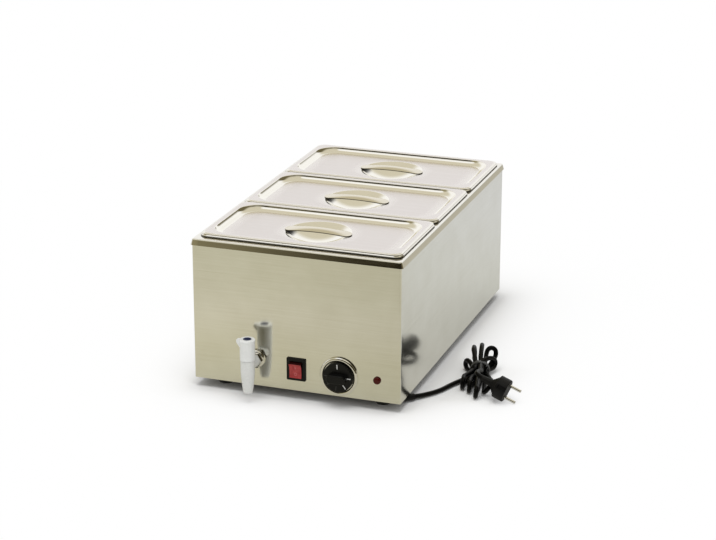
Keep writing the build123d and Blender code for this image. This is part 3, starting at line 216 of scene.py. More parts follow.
addNode(tree, "ShaderNodeOutputMaterial", links={"Surface": shader.outputs[0]})

# Pressed lid sheet: satin, pearly flats, with the drawn edges, the recess wall and the dish burnished bright.
# The strap is straw coloured. Painted shade darkens its underside, the dish under its ends and the hem, and
# its cut edges are dull with painted shade on them.
lidSteel, tree = startMaterial("pressed stainless lid steel")
coords = addNode(tree, "ShaderNodeTexCoord").outputs["Object"]
polish = addNode(tree, "ShaderNodeAttribute", {"attribute_name": "polish"}).outputs["Fac"]
straw = addNode(tree, "ShaderNodeAttribute", {"attribute_name": "straw"}).outputs["Fac"]
dullAndPaintedShade = addNode(tree, "ShaderNodeAttribute", {"attribute_name": "dullAndPaintedShade"}).outputs["Fac"]
grainCoords = addNode(tree, "ShaderNodeMapping", links={"Vector": coords}, values={
    "Scale": patternScale(71.4, 1.613, 5.0),  # drawn coarse, so that it shows
})
grain = addNode(tree, "ShaderNodeTexNoise", links={"Vector": grainCoords.outputs[0]}, values={
    "Scale": 1.0, "Detail": 4.0,
})
satinTint = addNode(tree, "ShaderNodeValToRGB", links={"Fac": grain.outputs["Fac"]}, stops=[
    (0.3, linear("#E0DAD7")), (0.7, linear("#E6E0DE")),
])
brightTint = addNode(tree, "ShaderNodeValToRGB", links={"Fac": grain.outputs["Fac"]}, stops=[
    (0.3, linear("#F5F2E9")), (0.7, linear("#FAF7EF")),
])
tint = addNode(tree, "ShaderNodeMix", {"data_type": "RGBA"}, None, {
    0: polish, 6: satinTint.outputs[0], 7: brightTint.outputs[0],
})
tint = addNode(tree, "ShaderNodeMix", {"data_type": "RGBA"}, {7: linear("#DCD0B0")}, {
    0: straw, 6: tint.outputs[2],
})
# painted shade, and the dull dark of the strap's cut edges, mixed in as near black
tint = addNode(tree, "ShaderNodeMix", {"data_type": "RGBA"}, {7: linear("#1C1812")}, {
    0: dullAndPaintedShade, 6: tint.outputs[2],
})
gloss = addNode(tree, "ShaderNodeMapRange", values={"To Min": 0.3, "To Max": 0.09}, links={"Value": polish})
gloss = addNode(tree, "ShaderNodeMix", {"data_type": "FLOAT"}, {3: 0.45}, {0: dullAndPaintedShade, 2: gloss.outputs[0]})
shader = addNode(tree, "ShaderNodeBsdfPrincipled", values={"Metallic": 1.0}, links={
    "Base Color": tint.outputs[2], "Roughness": gloss.outputs[0],
})
addNode(tree, "ShaderNodeOutputMaterial", links={"Surface": shader.outputs[0]})

# Red rocker: clear red on its face, with painted shade darkening its flanks
rockerRed, tree = startMaterial("red polycarbonate rocker")
coords = addNode(tree, "ShaderNodeTexCoord")
haze = addNode(tree, "ShaderNodeTexNoise", links={"Vector": coords.outputs["Object"]}, values={
    "Scale": patternScale(7.14)[0], "Detail": 3.0,
})
faceTint = addNode(tree, "ShaderNodeValToRGB", links={"Fac": haze.outputs["Fac"]}, stops=[
    (0.35, linear("#98282A")), (0.65, linear("#AC3E3E")),
])
normal = addNode(tree, "ShaderNodeSeparateXYZ", links={0: coords.outputs["Normal"]})
frontness = addNode(tree, "ShaderNodeMapRange", links={"Value": normal.outputs["Y"]}, values={
    "From Min": -0.45, "From Max": -0.9,
})
# painted shade: faces that turn away from the front go to dark red
tint = addNode(tree, "ShaderNodeMix", {"data_type": "RGBA"}, {6: linear("#2A0A0A")}, {
    0: frontness.outputs[0], 7: faceTint.outputs[0],
})
shader = addNode(tree, "ShaderNodeBsdfPrincipled", links={"Base Color": tint.outputs[2]}, values={
    "IOR": 1.58, "Roughness": 0.3, "Specular IOR Level": 0.35,
})
addNode(tree, "ShaderNodeOutputMaterial", links={"Surface": shader.outputs[0]})


def plainFinish(name, low, high, roughness, spread, patternSize, bumpDepth, values):
    # one noise takes the colour from low to high, the gloss through its spread and a bump up to its depth
    material, tree = startMaterial(name)
    coords = addNode(tree, "ShaderNodeTexCoord").outputs["Object"]
    noise = addNode(tree, "ShaderNodeTexNoise", links={"Vector": coords}, values={
        "Scale": patternScale(patternSize)[0], "Detail": 5.0,
    })
    factor = noise.outputs["Fac"]
    tint = addNode(tree, "ShaderNodeValToRGB", links={"Fac": factor}, stops=[
        (0.3, linear(low)), (0.7, linear(high)),
    ])
    gloss = addNode(tree, "ShaderNodeMapRange", links={"Value": factor}, values={
        "From Min": 0.3, "From Max": 0.7, "To Min": roughness - spread, "To Max": roughness + spread,
    })
    bump = addNode(tree, "ShaderNodeBump", links={"Height": factor}, values={
        "Strength": 0.25, "Distance": bumpDepth * mm,
    })
    shader = addNode(tree, "ShaderNodeBsdfPrincipled", values=values, links={
        "Base Color": tint.outputs[0], "Roughness": gloss.outputs[0], "Normal": bump.outputs[0],
    })
    addNode(tree, "ShaderNodeOutputMaterial", links={"Surface": shader.outputs[0]})
    return material


# Plain finishes: material, two colours, roughness and its spread, pattern and bump in mm, other socket values
metal = {"Metallic": 1.0}
acetal = {"IOR": 1.48}
polymer = {"IOR": 1.49}
acrylic = {"IOR": 1.49, "Specular IOR Level": 0.3}
ink = {"IOR": 1.5}
vinyl = {"IOR": 1.53}
dull = {"IOR": 1.53, "Specular IOR Level": 0.22}
plainFinishes = {
    "zinc_steel": ("zinc plated steel", "#B9BBB8", "#C9CBC8", 0.34, 0.06, 3.0, 0.01, metal),  # dull silver
    "dark_steel": ("heater sheath steel", "#4A4642", "#5C5751", 0.48, 0.08, 4.0, 0.02, metal),  # dark, matt
    "chrome": ("bright chrome plate", "#F4F3F0", "#FAF9F6", 0.06, 0.02, 6.0, 0.002, metal),  # a mirror
    "brass": ("turned brass", "#C9A24F", "#D8B566", 0.26, 0.05, 2.0, 0.01, metal),  # satin yellow
    "copper": ("drawn copper", "#C0764A", "#D08A5C", 0.24, 0.05, 2.0, 0.01, metal),  # satin red
    "black_rubber": ("moulded black rubber", "#0C0C0C", "#161616", 0.5, 0.07, 1.2, 0.06, dull),  # matt
    "black_plastic": ("moulded black ABS", "#0A0A0A", "#131312", 0.34, 0.05, 1.0, 0.03, dull),  # half matt
    "white_plastic": ("moulded white acetal", "#E2E3E0", "#E9EAE7", 0.22, 0.05, 2.5, 0.02, acetal),  # glossy
    "grey_plastic": ("white tap acetal", "#D9DAD6", "#E1E2DE", 0.2, 0.04, 2.5, 0.02, acetal),  # greyer
    "blue_plastic": ("moulded blue polypropylene", "#131D3E", "#1B2950", 0.33, 0.05, 2.0, 0.02, polymer),
    "red_lens": ("red acrylic lens", "#3A0806", "#4C0D09", 0.16, 0.03, 2.0, 0.01, acrylic),  # unlit, glossy
    "brown_insulation": ("brown wire insulation", "#4B2E1E", "#5A3A28", 0.45, 0.05, 1.5, 0.02, vinyl),
    "green_insulation": ("green wire insulation", "#3D7A2E", "#5C9440", 0.45, 0.05, 1.5, 0.02, vinyl),
}
finishes = {slotName: plainFinish(*facts) for slotName, facts in plainFinishes.items()}
finishes["brushed_casing"] = brushedSteel
finishes["satin_steel"] = satinSteel
finishes["lid_steel"] = lidSteel
finishes["red_plastic"] = rockerRed
for node in nodes.values():
    slotName = node.data.materials[0].name.split(".")[0]
    node.data.materials[0] = finishes[slotName]
print("finishes on", len(nodes), "nodes")

# Lids: a profile carried round the lid, from the middle of its underside out round the hem and over the top.
# On top come the skirt, shoulder and rim, the brow, wall and foot of the recess, its flat floor and the dish.
lidFacts = {
    "sheet": 0.8,
    "skirt": 5.2,  # hem below the rim
    "hemRound": 0.2,
    "hemInsets": (0.5, 0.1),  # of the hem's lower face
    "hemLap": 0.6,  # top of the hem's inner face below the shoulder
    "crease": 0.3,  # top of the skirt below the shoulder
    "shoulder": 4.2,
    "shoulderLean": (50.0, 40.0),  # degrees from level at its foot and at its top
    "shoulderSteps": 5,
    "bend": 0.8,  # radius from the shoulder to the rim
    "rim": 11.0,  # inset of the recess
    "rimRows": 3,
    "brow": 1.2,  # radius from the rim to the wall
    "browPoints": 7,
    "wallLean": 27.0,  # degrees from upright
    "foot": 12.0,  # radius from the wall to the floor
    "footPoints": 9,
    "depth": 8.0,
    "cornerPlaces": (0.0, 6.0, 11.0, 23.0),  # insets at which the corner radii hold
    "corners": (13.5, 13.0, 34.0, 26.0),
    "floorShares": (0.2, 0.4, 0.6, 0.8),  # rows of the floor between the foot and the dish
    "dish": 50.0,  # radius at the bowl's top
    "dishEdge": 3.0,  # radius from the floor to the bowl
    "dishEdgePoints": 7,
    "bowl": 82.0,  # radius of the bowl's sphere
    "bowlRows": 19,
    "middle": 2.0,  # radius of the bowl's flat bottom
}
lidFinish = {
    "rimPolish": 0.12,
    "floorEdgePolish": 0.3,
    "underPolish": 0.5,
    "polishFall": 0.4,  # power of the shoulder's fall from bright to satin
    "browPolish": (1.2, 1.5),  # turn of the brow between bright and satin, in radians
    # painted shade: dark along the hem, and in the dish under both ends of the strap
    "hemPaintedShade": 0.8,
    "strapEndPaintedShade": 0.92,
    "strapEndShadeFrom": 37.0,
    "strapEndShadeWide": 12.5,
    "strapEndShadeFades": (7.0, 3.0),  # along and across the strap
    "strapEndShadeSink": 0.6,  # the painted shade lies this far below the floor and deeper
}


def shoulderRows():
    # rows of (inset, height, polish): the lean lessens as it rises and bends level, with its steps added up
    steps = lidFacts["shoulderSteps"]
    steep, slight = np.radians(lidFacts["shoulderLean"])
    bendTurn = np.linspace(slight, 0, steps + 1)
    slope = np.concatenate([np.linspace(steep, slight, steps), (bendTurn[:-1] + bendTurn[1:]) / 2])
    bendDrop = lidFacts["bend"] * (1 - math.cos(slight))
    leanStep = (lidFacts["shoulder"] - bendDrop) / np.sin(slope[:steps]).sum()
    stepLength = np.repeat([leanStep, lidFacts["bend"] * slight / steps], steps)
    inset = np.concatenate([[0.0], np.cumsum(stepLength * np.cos(slope))])
    height = np.concatenate([[0.0], np.cumsum(stepLength * np.sin(slope))]) - lidFacts["shoulder"]
    height[-1] = 0.0
    polish = np.linspace(1, lidFinish["rimPolish"], len(inset)) ** lidFinish["polishFall"]
    return np.column_stack([inset, height, polish])


def recessRows():
    # rows of (inset, height, polish): a small arc down from the rim, a leaning wall, a large arc to the floor
    lean = math.radians(lidFacts["wallLean"])
    browTurn = np.linspace(math.pi / 2, lean, lidFacts["browPoints"])
    brow = np.column_stack([
        lidFacts["rim"] + lidFacts["brow"] * np.cos(browTurn),
        lidFacts["brow"] * (np.sin(browTurn) - 1),
        np.interp(browTurn, lidFinish["browPolish"], (1.0, lidFinish["rimPolish"])),
    ])
    footTurn = np.linspace(math.pi + lean, 1.5 * math.pi, lidFacts["footPoints"])
    footTop = lidFacts["foot"] * (1 - math.sin(lean)) - lidFacts["depth"]
    wallRun = (brow[-1, 1] - footTop) * math.tan(lean)
    footCentre = brow[-1, 0] + wallRun + lidFacts["foot"] * math.cos(lean)
    foot = np.column_stack([
        footCentre + lidFacts["foot"] * np.cos(footTurn),
        lidFacts["foot"] * (1 + np.sin(footTurn)) - lidFacts["depth"],
        np.ones(len(footTurn)),
    ])
    foot[-1, 2] = lidFinish["floorEdgePolish"]
    return np.concatenate([brow, foot])


def dishRows():
    # rows of (radius, height, polish): a small arc down from the floor, then a bowl that is part of a sphere
    tilt = math.asin(lidFacts["dish"] / lidFacts["bowl"])
    edgeTurn = np.linspace(0, tilt, lidFacts["dishEdgePoints"])
    edgeRadius = lidFacts["dish"] + lidFacts["dishEdge"] * (math.sin(tilt) - np.sin(edgeTurn))
    edgeDrop = lidFacts["dishEdge"] * (1 - np.cos(edgeTurn))
    bowlRadius = np.linspace(lidFacts["dish"], lidFacts["middle"], lidFacts["bowlRows"] + 1)[1:]
    bowlTop = math.sqrt(lidFacts["bowl"] ** 2 - lidFacts["dish"] ** 2)
    bowlDrop = edgeDrop[-1] + np.sqrt(lidFacts["bowl"] ** 2 - bowlRadius ** 2) - bowlTop
    radius = np.concatenate([edgeRadius, bowlRadius])
    height = -lidFacts["depth"] - np.concatenate([edgeDrop, bowlDrop])
    polish = np.ones(len(radius))
    polish[0] = lidFinish["floorEdgePolish"]
    return np.column_stack([radius, height, polish])


def offsetInside(inset, height, sheet):  # a profile moved in by the sheet's thickness, square to itself
    alongInset = np.gradient(inset)
    alongHeight = np.gradient(height)
    length = np.hypot(alongInset, alongHeight)
    return inset + sheet * alongHeight / length, height - sheet * alongInset / length


def lidRings(halfLength, halfWidth):
    # rings of the whole lid, about its middle and from its rim's level, with the finish at each point
    sheet = lidFacts["sheet"]
    hemLow = -lidFacts["skirt"]
    hemHigh = hemLow + lidFacts["hemRound"]

    def squareRings(insets, heights):
        corners = np.interp(insets, lidFacts["cornerPlaces"], lidFacts["corners"])
        return [atLevel(roundedRing(halfLength - inset, halfWidth - inset, corner), level)
                for inset, corner, level in zip(insets, corners, heights)]

    def roundRings(radii, heights):
        return [atLevel(spokes * radius, level) for radius, level in zip(radii, heights)]

    skirt = np.array([(0.0, hemHigh, 1.0), (0.0, -lidFacts["shoulder"] - lidFacts["crease"], 1.0)])
    shoulder = shoulderRows()
    rimInset = np.linspace(shoulder[-1, 0], lidFacts["rim"], lidFacts["rimRows"] + 2)[1:-1]
    rim = np.column_stack([rimInset, 0 * rimInset, np.full(len(rimInset), lidFinish["rimPolish"])])
    inset, height, topPolish = np.concatenate([skirt, shoulder, rim, recessRows()]).T
    radius, sink, dishPolish = dishRows().T

    top = squareRings(inset, height)
    floorEdge = top[-1][:, :2]
    spokes = floorEdge / np.linalg.norm(floorEdge, axis=1, keepdims=True)
    dish = roundRings(radius, sink)
    floorRows = [top[-1] * (1 - share) + dish[0] * share for share in lidFacts["floorShares"]]
    hemInsets = (sheet, sheet, *lidFacts["hemInsets"])
    hem = squareRings(hemInsets, (-lidFacts["shoulder"] - lidFacts["hemLap"], hemHigh, hemLow, hemLow))
    under = squareRings(*offsetInside(inset[len(skirt):], height[len(skirt):], sheet))
    underRows = [row - (0, 0, sheet) for row in floorRows]
    negativeRadius, underSink = offsetInside(-radius, sink, sheet)
    underside = roundRings(-negativeRadius, underSink)[::-1] + underRows[::-1] + under[::-1]
    rings = np.array(underside + hem + top + floorRows + dish)

    rowPolish = np.concatenate([
        np.full(len(underside), lidFinish["underPolish"]), np.ones(len(hem)), topPolish,
        np.zeros(len(floorRows)), dishPolish,
    ])
    polish = np.repeat(rowPolish[:, None], rings.shape[1], axis=1)
    # painted shade darkens the dish under both ends of the strap, and painted shade darkens the hem up to the
    # shoulder
    x, y, level = np.moveaxis(rings, -1, 0)
    fadeAlong, fadeAcross = lidFinish["strapEndShadeFades"]
    underEnd = np.clip((np.abs(x) - lidFinish["strapEndShadeFrom"]) / fadeAlong, 0, 1)
    underEnd *= np.clip((lidFinish["strapEndShadeWide"] - np.abs(y)) / fadeAcross, 0, 1)
    dullAndPaintedShade = lidFinish["strapEndPaintedShade"] * underEnd * (level < -lidFacts["depth"] - lidFinish["strapEndShadeSink"])
    dullAndPaintedShade[len(underside):len(underside) + len(hem) + len(skirt) + 1] = lidFinish["hemPaintedShade"]
    return rings, {"polish": polish, "dullAndPaintedShade": dullAndPaintedShade}


# Strap across the dish: a bar with round edges, crowned across, arched over the dish, with round ends
strapFacts = {
    "halfLength": 54.0,
    "halfWidth": 12.0,
    "thickness": 1.4,
    "rise": 2.5,
    "span": 50.0,  # half the length of the arch
    "end": 11.4,  # radius of the corners of its ends
    "crown": 2.6,
    "edge": 0.25,
    "rows": 57,
    "sectionRuns": (12, 2),
    "sectionArc": 4,
    "straw": 0.55,
    # strength of the dark: painted shade on the underside, and dullness with painted shade on the cut edges
    "dullAndPaintedShade": 0.85,
    "dull": 0.1,  # share of the dull tone on the top
}


def strapRings(floorLevel):
    # round-edged sections in planes across the strap, closer together toward its ends
    facts = strapFacts
    half = facts["thickness"] / 2
    along = facts["halfLength"] * np.sin(np.linspace(-math.pi / 2, math.pi / 2, facts["rows"]))
    past = np.clip(np.abs(along) - facts["halfLength"] + facts["end"], 0, None)
    halfWidth = facts["halfWidth"] - facts["end"] + np.sqrt(np.clip(facts["end"] ** 2 - past ** 2, 0, None))
    arch = facts["rise"] * np.clip(1 - (along / facts["span"]) ** 2, 0, None)
    rings = []
    dullAndPaintedShade = []
    for x, width, rise in zip(along, halfWidth, arch):
        section = roundedRing(width, half, facts["edge"], facts["sectionRuns"], facts["sectionArc"])
        across, level = section.T
        crown = facts["crown"] * rise / facts["rise"] * (1 - (across / width) ** 2)
        cutEdge = np.clip((np.abs(across) - width + facts["edge"]) / facts["edge"], 0, 1)
        # painted shade on the underside, dull dark with painted shade on the cut edges, and a little dull
        # tone on top
        dullAndPaintedShade.append(facts["dullAndPaintedShade"] * np.maximum(np.maximum(cutEdge, level < 0), facts["dull"]))
        lift = floorLevel + half + rise + crown
        rings.append(np.column_stack([np.full(len(section), x), across, level + lift]))
    dullAndPaintedShade = np.array(dullAndPaintedShade)
    polish = np.ones_like(dullAndPaintedShade)
    return np.array(rings), {"polish": polish, "dullAndPaintedShade": dullAndPaintedShade, "straw": facts["straw"] * polish}


for place in ("front", "middle", "rear"):
    low, high = [np.array(corner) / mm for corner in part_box(place + "_lid")]
    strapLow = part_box(place + "_lid_handle")[0][2] / mm
    middle = (low + high) / 2
    rings, finish = lidRings((high[0] - low[0]) / 2, (high[1] - low[1]) / 2)
    ringPiece(place + "_lid_sheet", rings + (middle[0], middle[1], high[2]), lidSteel, "lid_" + place,
              place + "_lid", finish=finish)
    rings, finish = strapRings(strapLow)
    ringPiece(place + "_lid_strap", rings + (middle[0], middle[1], 0), lidSteel, "lid_" + place,
              place + "_lid_handle", finish=finish)
print("lids pressed")

# Water tank: a profile from the lip's lower edge over the flange, down the well to the drain and back outside
tankFacts = {
    "sheet": 0.8,
    "lipLow": 9.4,
    "lipLean": 17.0,  # degrees from upright
    "lipRound": 2.0,
    "lipPoints": 8,
    "lipOut": 0.9,  # lower edge of the lip past the flange
    "flangeCorner": 4.0,
    "wellHalf": (154.4, 256.6),
    "wellY": 26.5,
    "wellCorner": 24.4,
    "mouth": 2.0,
    "mouthPoints": 6,
    "mouthRoom": 0.5,  # outer bend of the mouth past the inner one
    "floor": 78.0,
    "floorRound": 14.0,
    "floorPoints": 9,
    "floorShares": (0.3, 0.6, 0.85),  # rows of the floor between its round and the drain hole
    "drain": (-64.5, -197.65),
    "drainRadius": 6.0,
}


def tankRings():
    # rings in a loop: each point of the profile is an offset from the outline of flange or well, and a level
    facts = tankFacts
    sheet = facts["sheet"]
    low, high = [np.array(corner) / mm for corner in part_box("tank")]
    flangeHalf = (high - low)[:2] / 2
    flangeY = (high + low)[1] / 2
    top = high[2]

    def flangeRing(out, level):
        ring = roundedRing(flangeHalf[0] + out, flangeHalf[1] + out, facts["flangeCorner"] + out)
        return atLevel(ring + (0, flangeY), level)

    def wellRing(out, level):
        ring = roundedRing(facts["wellHalf"][0] + out, facts["wellHalf"][1] + out, facts["wellCorner"] + out)
        return atLevel(ring + (0, facts["wellY"]), level)

    # the lip leans outward from its round top edge
    lean = math.radians(facts["lipLean"])
    lipTurn = np.linspace(lean, math.pi / 2, facts["lipPoints"])
    lipRise = facts["lipLow"] - facts["lipRound"] * (1 - math.sin(lean))
    lipIn = facts["lipOut"] - lipRise * math.tan(lean) - facts["lipRound"] * math.cos(lean)
    lipOut = np.concatenate([[facts["lipOut"]], lipIn + facts["lipRound"] * np.cos(lipTurn)])
    lipLevel = np.concatenate([[top - facts["lipLow"]], top + facts["lipRound"] * (np.sin(lipTurn) - 1)])

    # the well turns down round its mouth, and in round the edge of its floor
    mouthTurn = np.radians(np.linspace(90, 0, facts["mouthPoints"]))
    floorTurn = np.radians(np.linspace(0, 90, facts["floorPoints"]))
    wellOut = np.concatenate([
        facts["mouth"] * (1 - np.cos(mouthTurn)),
        [0.0],
        facts["floorRound"] * (np.cos(floorTurn) - 1),
    ])
    wellLevel = np.concatenate([
        top + facts["mouth"] * (np.sin(mouthTurn) - 1),
        [(top + facts["floor"]) / 2],
        facts["floor"] + facts["floorRound"] * (1 - np.sin(floorTurn)),
    ])
    inside = [flangeRing(out, level) for out, level in zip(lipOut, lipLevel)]
    inside += [wellRing(out, level) for out, level in zip(wellOut, wellLevel)]

    # the floor closes in on the drain hole along spokes
    drain = np.array(facts["drain"])
    spokes = inside[-1][:, :2] - drain
    spokes = spokes / np.linalg.norm(spokes, axis=1, keepdims=True)
    hole = atLevel(drain + facts["drainRadius"] * spokes, facts["floor"])
    floorRows = [inside[-1] * (1 - share) + hole * share for share in facts["floorShares"]]
    underRows = [row - (0, 0, sheet) for row in floorRows[::-1]]

    # the outside follows a sheet's thickness away
    outerRound = facts["floorRound"] + sheet
    outerOut = outerRound * np.cos(floorTurn) - facts["floorRound"]
    outerLevel = facts["floor"] + facts["floorRound"] - outerRound * np.sin(floorTurn)
    outside = [wellRing(out, level) for out, level in zip(outerOut[::-1], outerLevel[::-1])]
    outside += [
        wellRing(sheet, top - 2 * facts["mouth"]),
        wellRing(facts["mouth"] + facts["mouthRoom"], top - sheet),
        flangeRing(lipIn, top - sheet),
        flangeRing(facts["lipOut"] - sheet, top - facts["lipLow"]),
    ]
    return np.array(inside + floorRows + [hole, hole - (0, 0, sheet)] + underRows + outside)


ringPiece("water_tank", tankRings(), satinSteel, "housing", "tank", loop=True)
print("tank drawn")

# White marks printed on the dial: a bar at off, then one for each step of heat, the last three worn.
# Angles run anticlockwise from +X, and layers are (shrink, lift) from the foot of the ink to its top.
markFacts = {
    "angles": (92.0, 1.0, 308.0, 262.0, 218.0, 176.0),
    "bright": 3,
    "inner": 13.8,
    "outer": 21.2,
    "halfWidth": 0.75,
    "corner": 0.4,
    "layers": ((0.0, -0.05), (0.0, 0.072), (0.08, 0.12)),
    "faceDepth": 11.0,  # dial face behind the front of the grip
}
printWhite = plainFinish("white printing ink", "#C9C9C4", "#D8D8D4", 0.5, 0.05, 0.6, 0.01, ink)
printFaint = plainFinish("worn printing ink", "#242423", "#30302F", 0.5, 0.05, 0.6, 0.01, ink)
knobLow, knobHigh = [np.array(corner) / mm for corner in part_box("dial_knob")]
dialMiddle = (knobLow + knobHigh) / 2
dialMiddle[1] = knobLow[1] + markFacts["faceDepth"]
frontward = np.array((0.0, -1.0, 0.0))
markHalf = (markFacts["outer"] - markFacts["inner"]) / 2
markRadius = (markFacts["outer"] + markFacts["inner"]) / 2
for count, angle in enumerate(np.radians(markFacts["angles"])):
    outward = np.array((math.cos(angle), 0.0, math.sin(angle)))
    sideways = np.array((-math.sin(angle), 0.0, math.cos(angle)))
    rings = []
    for shrink, lift in markFacts["layers"]:
        corner = markFacts["corner"] - shrink
        ring = roundedRing(markHalf - shrink, markFacts["halfWidth"] - shrink, corner, (4, 1), 4)
        onFace = ring[:, :1] * outward + ring[:, 1:] * sideways
        rings.append(dialMiddle + markRadius * outward + onFace + lift * frontward)
    markInk = printWhite if count < markFacts["bright"] else printFaint
    ringPiece("dial_mark_" + str(count), np.array(rings), markInk, "dial")
print("dial marked")

# On and off marks printed on the rocker's hollow face, which leans with the rocker, in layers as on the dial
rockerFacts = {
    "pivot": (1.0, -248.65, 50.0),
    "lean": 8.0,
    "proud": 10.1,
    "hollow": 2.2,
    "halfHeight": 11.7,
    "bar": {"up": 5.2, "halfHeight": 2.6, "halfWidth": 0.5, "corner": 0.3},
    "barLayers": ((0.0, -0.05), (0.0, 0.06), (0.06, 0.1)),
    "ring": {"up": -5.6, "radius": 2.4, "wide": 0.6},
    "ringLifts": (-0.05, 0.1),
}
rockerLean = math.radians(rockerFacts["lean"])
rockerOut = np.array((0.0, -math.cos(rockerLean), -math.sin(rockerLean)))
rockerUp = np.array((0.0, -math.sin(rockerLean), math.cos(rockerLean)))


def onRocker(ring, lift):  # points (across, up) in mm laid on the rocker's hollow face and raised by lift
    across, up = np.split(ring, 2, axis=1)
    depth = rockerFacts["proud"] - rockerFacts["hollow"] * (1 - (up / rockerFacts["halfHeight"]) ** 2)
    return rockerFacts["pivot"] + across * (1.0, 0.0, 0.0) + (depth + lift) * rockerOut + up * rockerUp


palePrint = plainFinish("pale pink printing ink", "#C25F5D", "#CC706E", 0.45, 0.05, 0.6, 0.01, ink)
bar = rockerFacts["bar"]
rings = []
for shrink, lift in rockerFacts["barLayers"]:
    corner = bar["corner"] - shrink
    ring = roundedRing(bar["halfWidth"] - shrink, bar["halfHeight"] - shrink, corner, (1, 4), 4)
    rings.append(onRocker(ring + (0, bar["up"]), lift))
ringPiece("rocker_on_mark", np.array(rings), palePrint, "switch_rocker")
ringMark = rockerFacts["ring"]
sunk, raised = rockerFacts["ringLifts"]
outer = ringMark["radius"]
inner = outer - ringMark["wide"]
rings = []
for radius, lift in ((outer, sunk), (outer, raised), (inner, raised), (inner, sunk)):
    ring = roundedRing(radius, radius, radius, (1, 1), 9)
    rings.append(onRocker(ring + (0, ringMark["up"]), lift))
ringPiece("rocker_off_mark", np.array(rings), palePrint, "switch_rocker", loop=True)
print("rocker marked")

# Black PVC sheath: smooth, faintly dull, with a little wear
cordSheath = plainFinish("black PVC sheath", "#040404", "#080808", 0.36, 0.06, 6.0, 0.02,
                         {"IOR": 1.53, "Specular IOR Level": 0.14})

# Dark vinyl strip wound round the hank: grey and half matt
tieStrip = plainFinish("dark grey vinyl strip", "#3A3A3A", "#4A4A49", 0.45, 0.06, 3.0, 0.03, dull)
nodes["cord_tie"].data.materials[0] = tieStrip

# Mains cord: lead from the boot, a tied hank of ten strands, then the lead to the plug.
# Points of the leads are in mm. Points of the hank are (along, across, height) in mm from its near end.
cordFacts = {
    "diameter": 7.4,
    "exit": (0.1718, -0.19655, 0.007),  # in m, as is the length
    "length": 1.42,
    "near": (262.0, -173.0),
    "way": (-0.2193, 0.9757),
    "across": (0.9757, 0.2193),
    "foldRadius": 7.0,
    "pointsBetween": 6,
    "roundness": 4,
}
leadOut = np.array([
    (159.4, -205.85, 7.0), (170.5, -194.8, 5.6), (197.5, -161.5, 4.2), (210.0, -121.0, 3.9),
    (225.5, -92.0, 5.0),
])
leadIn = np.array([
    (251.0, -133.0, 33.5), (256.5, -146.5, 36.2), (264.8, -149.9, 32.4), (271.8, -150.5, 29.8),
])


def foldOver(tip, across, middle, facing, lean, rising=True):
    # half an octagon with straight tails, which the spline rounds off: it stands upright, its round end is at
    # tip, and it leans sideways with height
    radius = cordFacts["foldRadius"]
    ring = radius * np.array([
        (-1.5, -1), (-0.41, -1), (0.41, -1), (1, -0.41), (1, 0.41), (0.41, 1), (-0.41, 1), (-1.5, 1),
    ])
    points = np.stack([
        tip + facing * (ring[:, 0] - radius) * math.hypot(1, lean),
        across + lean * ring[:, 1],
        middle + ring[:, 1],
    ], axis=1)
    return points if rising else points[::-1]


hankRun = np.concatenate([
    [(97, -9.2, 4.2), (107, -8.2, 4.2), (114, -11.8, 4.0), (122.5, -17.8, 3.8), (128.5, -21.9, 3.8)],
    [(132, -24.4, 8.1), (132, -24.4, 14.1), (128.5, -21.9, 18.4), (122.5, -17.8, 18.4), (115, -13.8, 16.0)],
    [(107, -11.0, 11.2), (97, -11.2, 11.6), (84, -14.0, 10.0), (70, -18.5, 6.0)],
    foldOver(45, -23, 10.8, -1, 0.1),
    [(70, -18.0, 17.4), (86, -10.8, 17.2), (97, -7.5, 16.8), (107, -7.2, 17.0), (125, -9.4, 25.5)],
    foldOver(158, -12, 24.5, 1, -0.1, rising=False),
    [(130, -8.0, 14.4), (120, -5.0, 11.6), (107, -3.7, 10.6), (97, -3.8, 10.6), (84, -5.4, 12.0)],
    [(64, -9.5, 16.0)],
    foldOver(32, -12, 10.8, -1, 0.1, rising=False),
    [(64, -7.0, 3.9), (85, -2.0, 3.9), (97, -0.2, 4.0), (107, 0.0, 4.1), (122, -0.6, 8.0), (142, -1.2, 14.5)],
    foldOver(170, -1.4, 24.0, 1, 0.1),
    [(140, -0.9, 27.5), (124, -0.3, 21.0), (107, 0.0, 17.0), (97, 0.0, 16.8), (80, -0.1, 17.0)],
    [(52, -0.5, 17.8)],
    foldOver(11, -0.6, 10.8, -1, 0.1, rising=False),
    [(52, 0.8, 4.3), (72, 2.4, 7.0), (86, 3.3, 9.4), (97, 3.6, 10.5), (107, 3.8, 10.6)],
    [(119, 5.0, 13.0), (131, 7.2, 19.5), (137.5, 7.6, 27.0), (140.4, 9.4, 32.6), (141.8, 14.0, 35.8)],
    [(142.5, 19.2, 34.6), (142.3, 22.6, 30.0), (140, 22.5, 23.0), (133, 17.5, 15.5), (121, 10.5, 8.0)],
    [(107, 7.5, 4.1), (97, 7.5, 4.0), (84, 8.6, 3.9), (60, 9.8, 3.9)],
    foldOver(28, 15.6, 10.8, -1, 0.75),
    [(60, 18.5, 15.0), (84, 12.8, 11.6), (97, 11.0, 10.6), (107, 11.0, 10.4)],
    [(113, 13.0, 9.4), (120, 17.0, 8.4), (127, 20.6, 8.8), (131.4, 22.6, 12.4), (131.8, 22.2, 18.2)],
    [(127.5, 18.2, 23.6), (120, 11.8, 26.6), (111, 5.2, 26.2)],
    [(104, 2.0, 23.8), (95, 1.6, 23.6), (76, 2.5, 25.5), (60, 4.0, 29.0)],
])
along, across, height = hankRun.T
hankWorld = np.stack([
    cordFacts["near"][0] + along * cordFacts["way"][0] + across * cordFacts["across"][0],
    cordFacts["near"][1] + along * cordFacts["way"][1] + across * cordFacts["across"][1],
    height,
], axis=1)
cordPoints = np.concatenate([leadOut, hankWorld, leadIn]) * mm
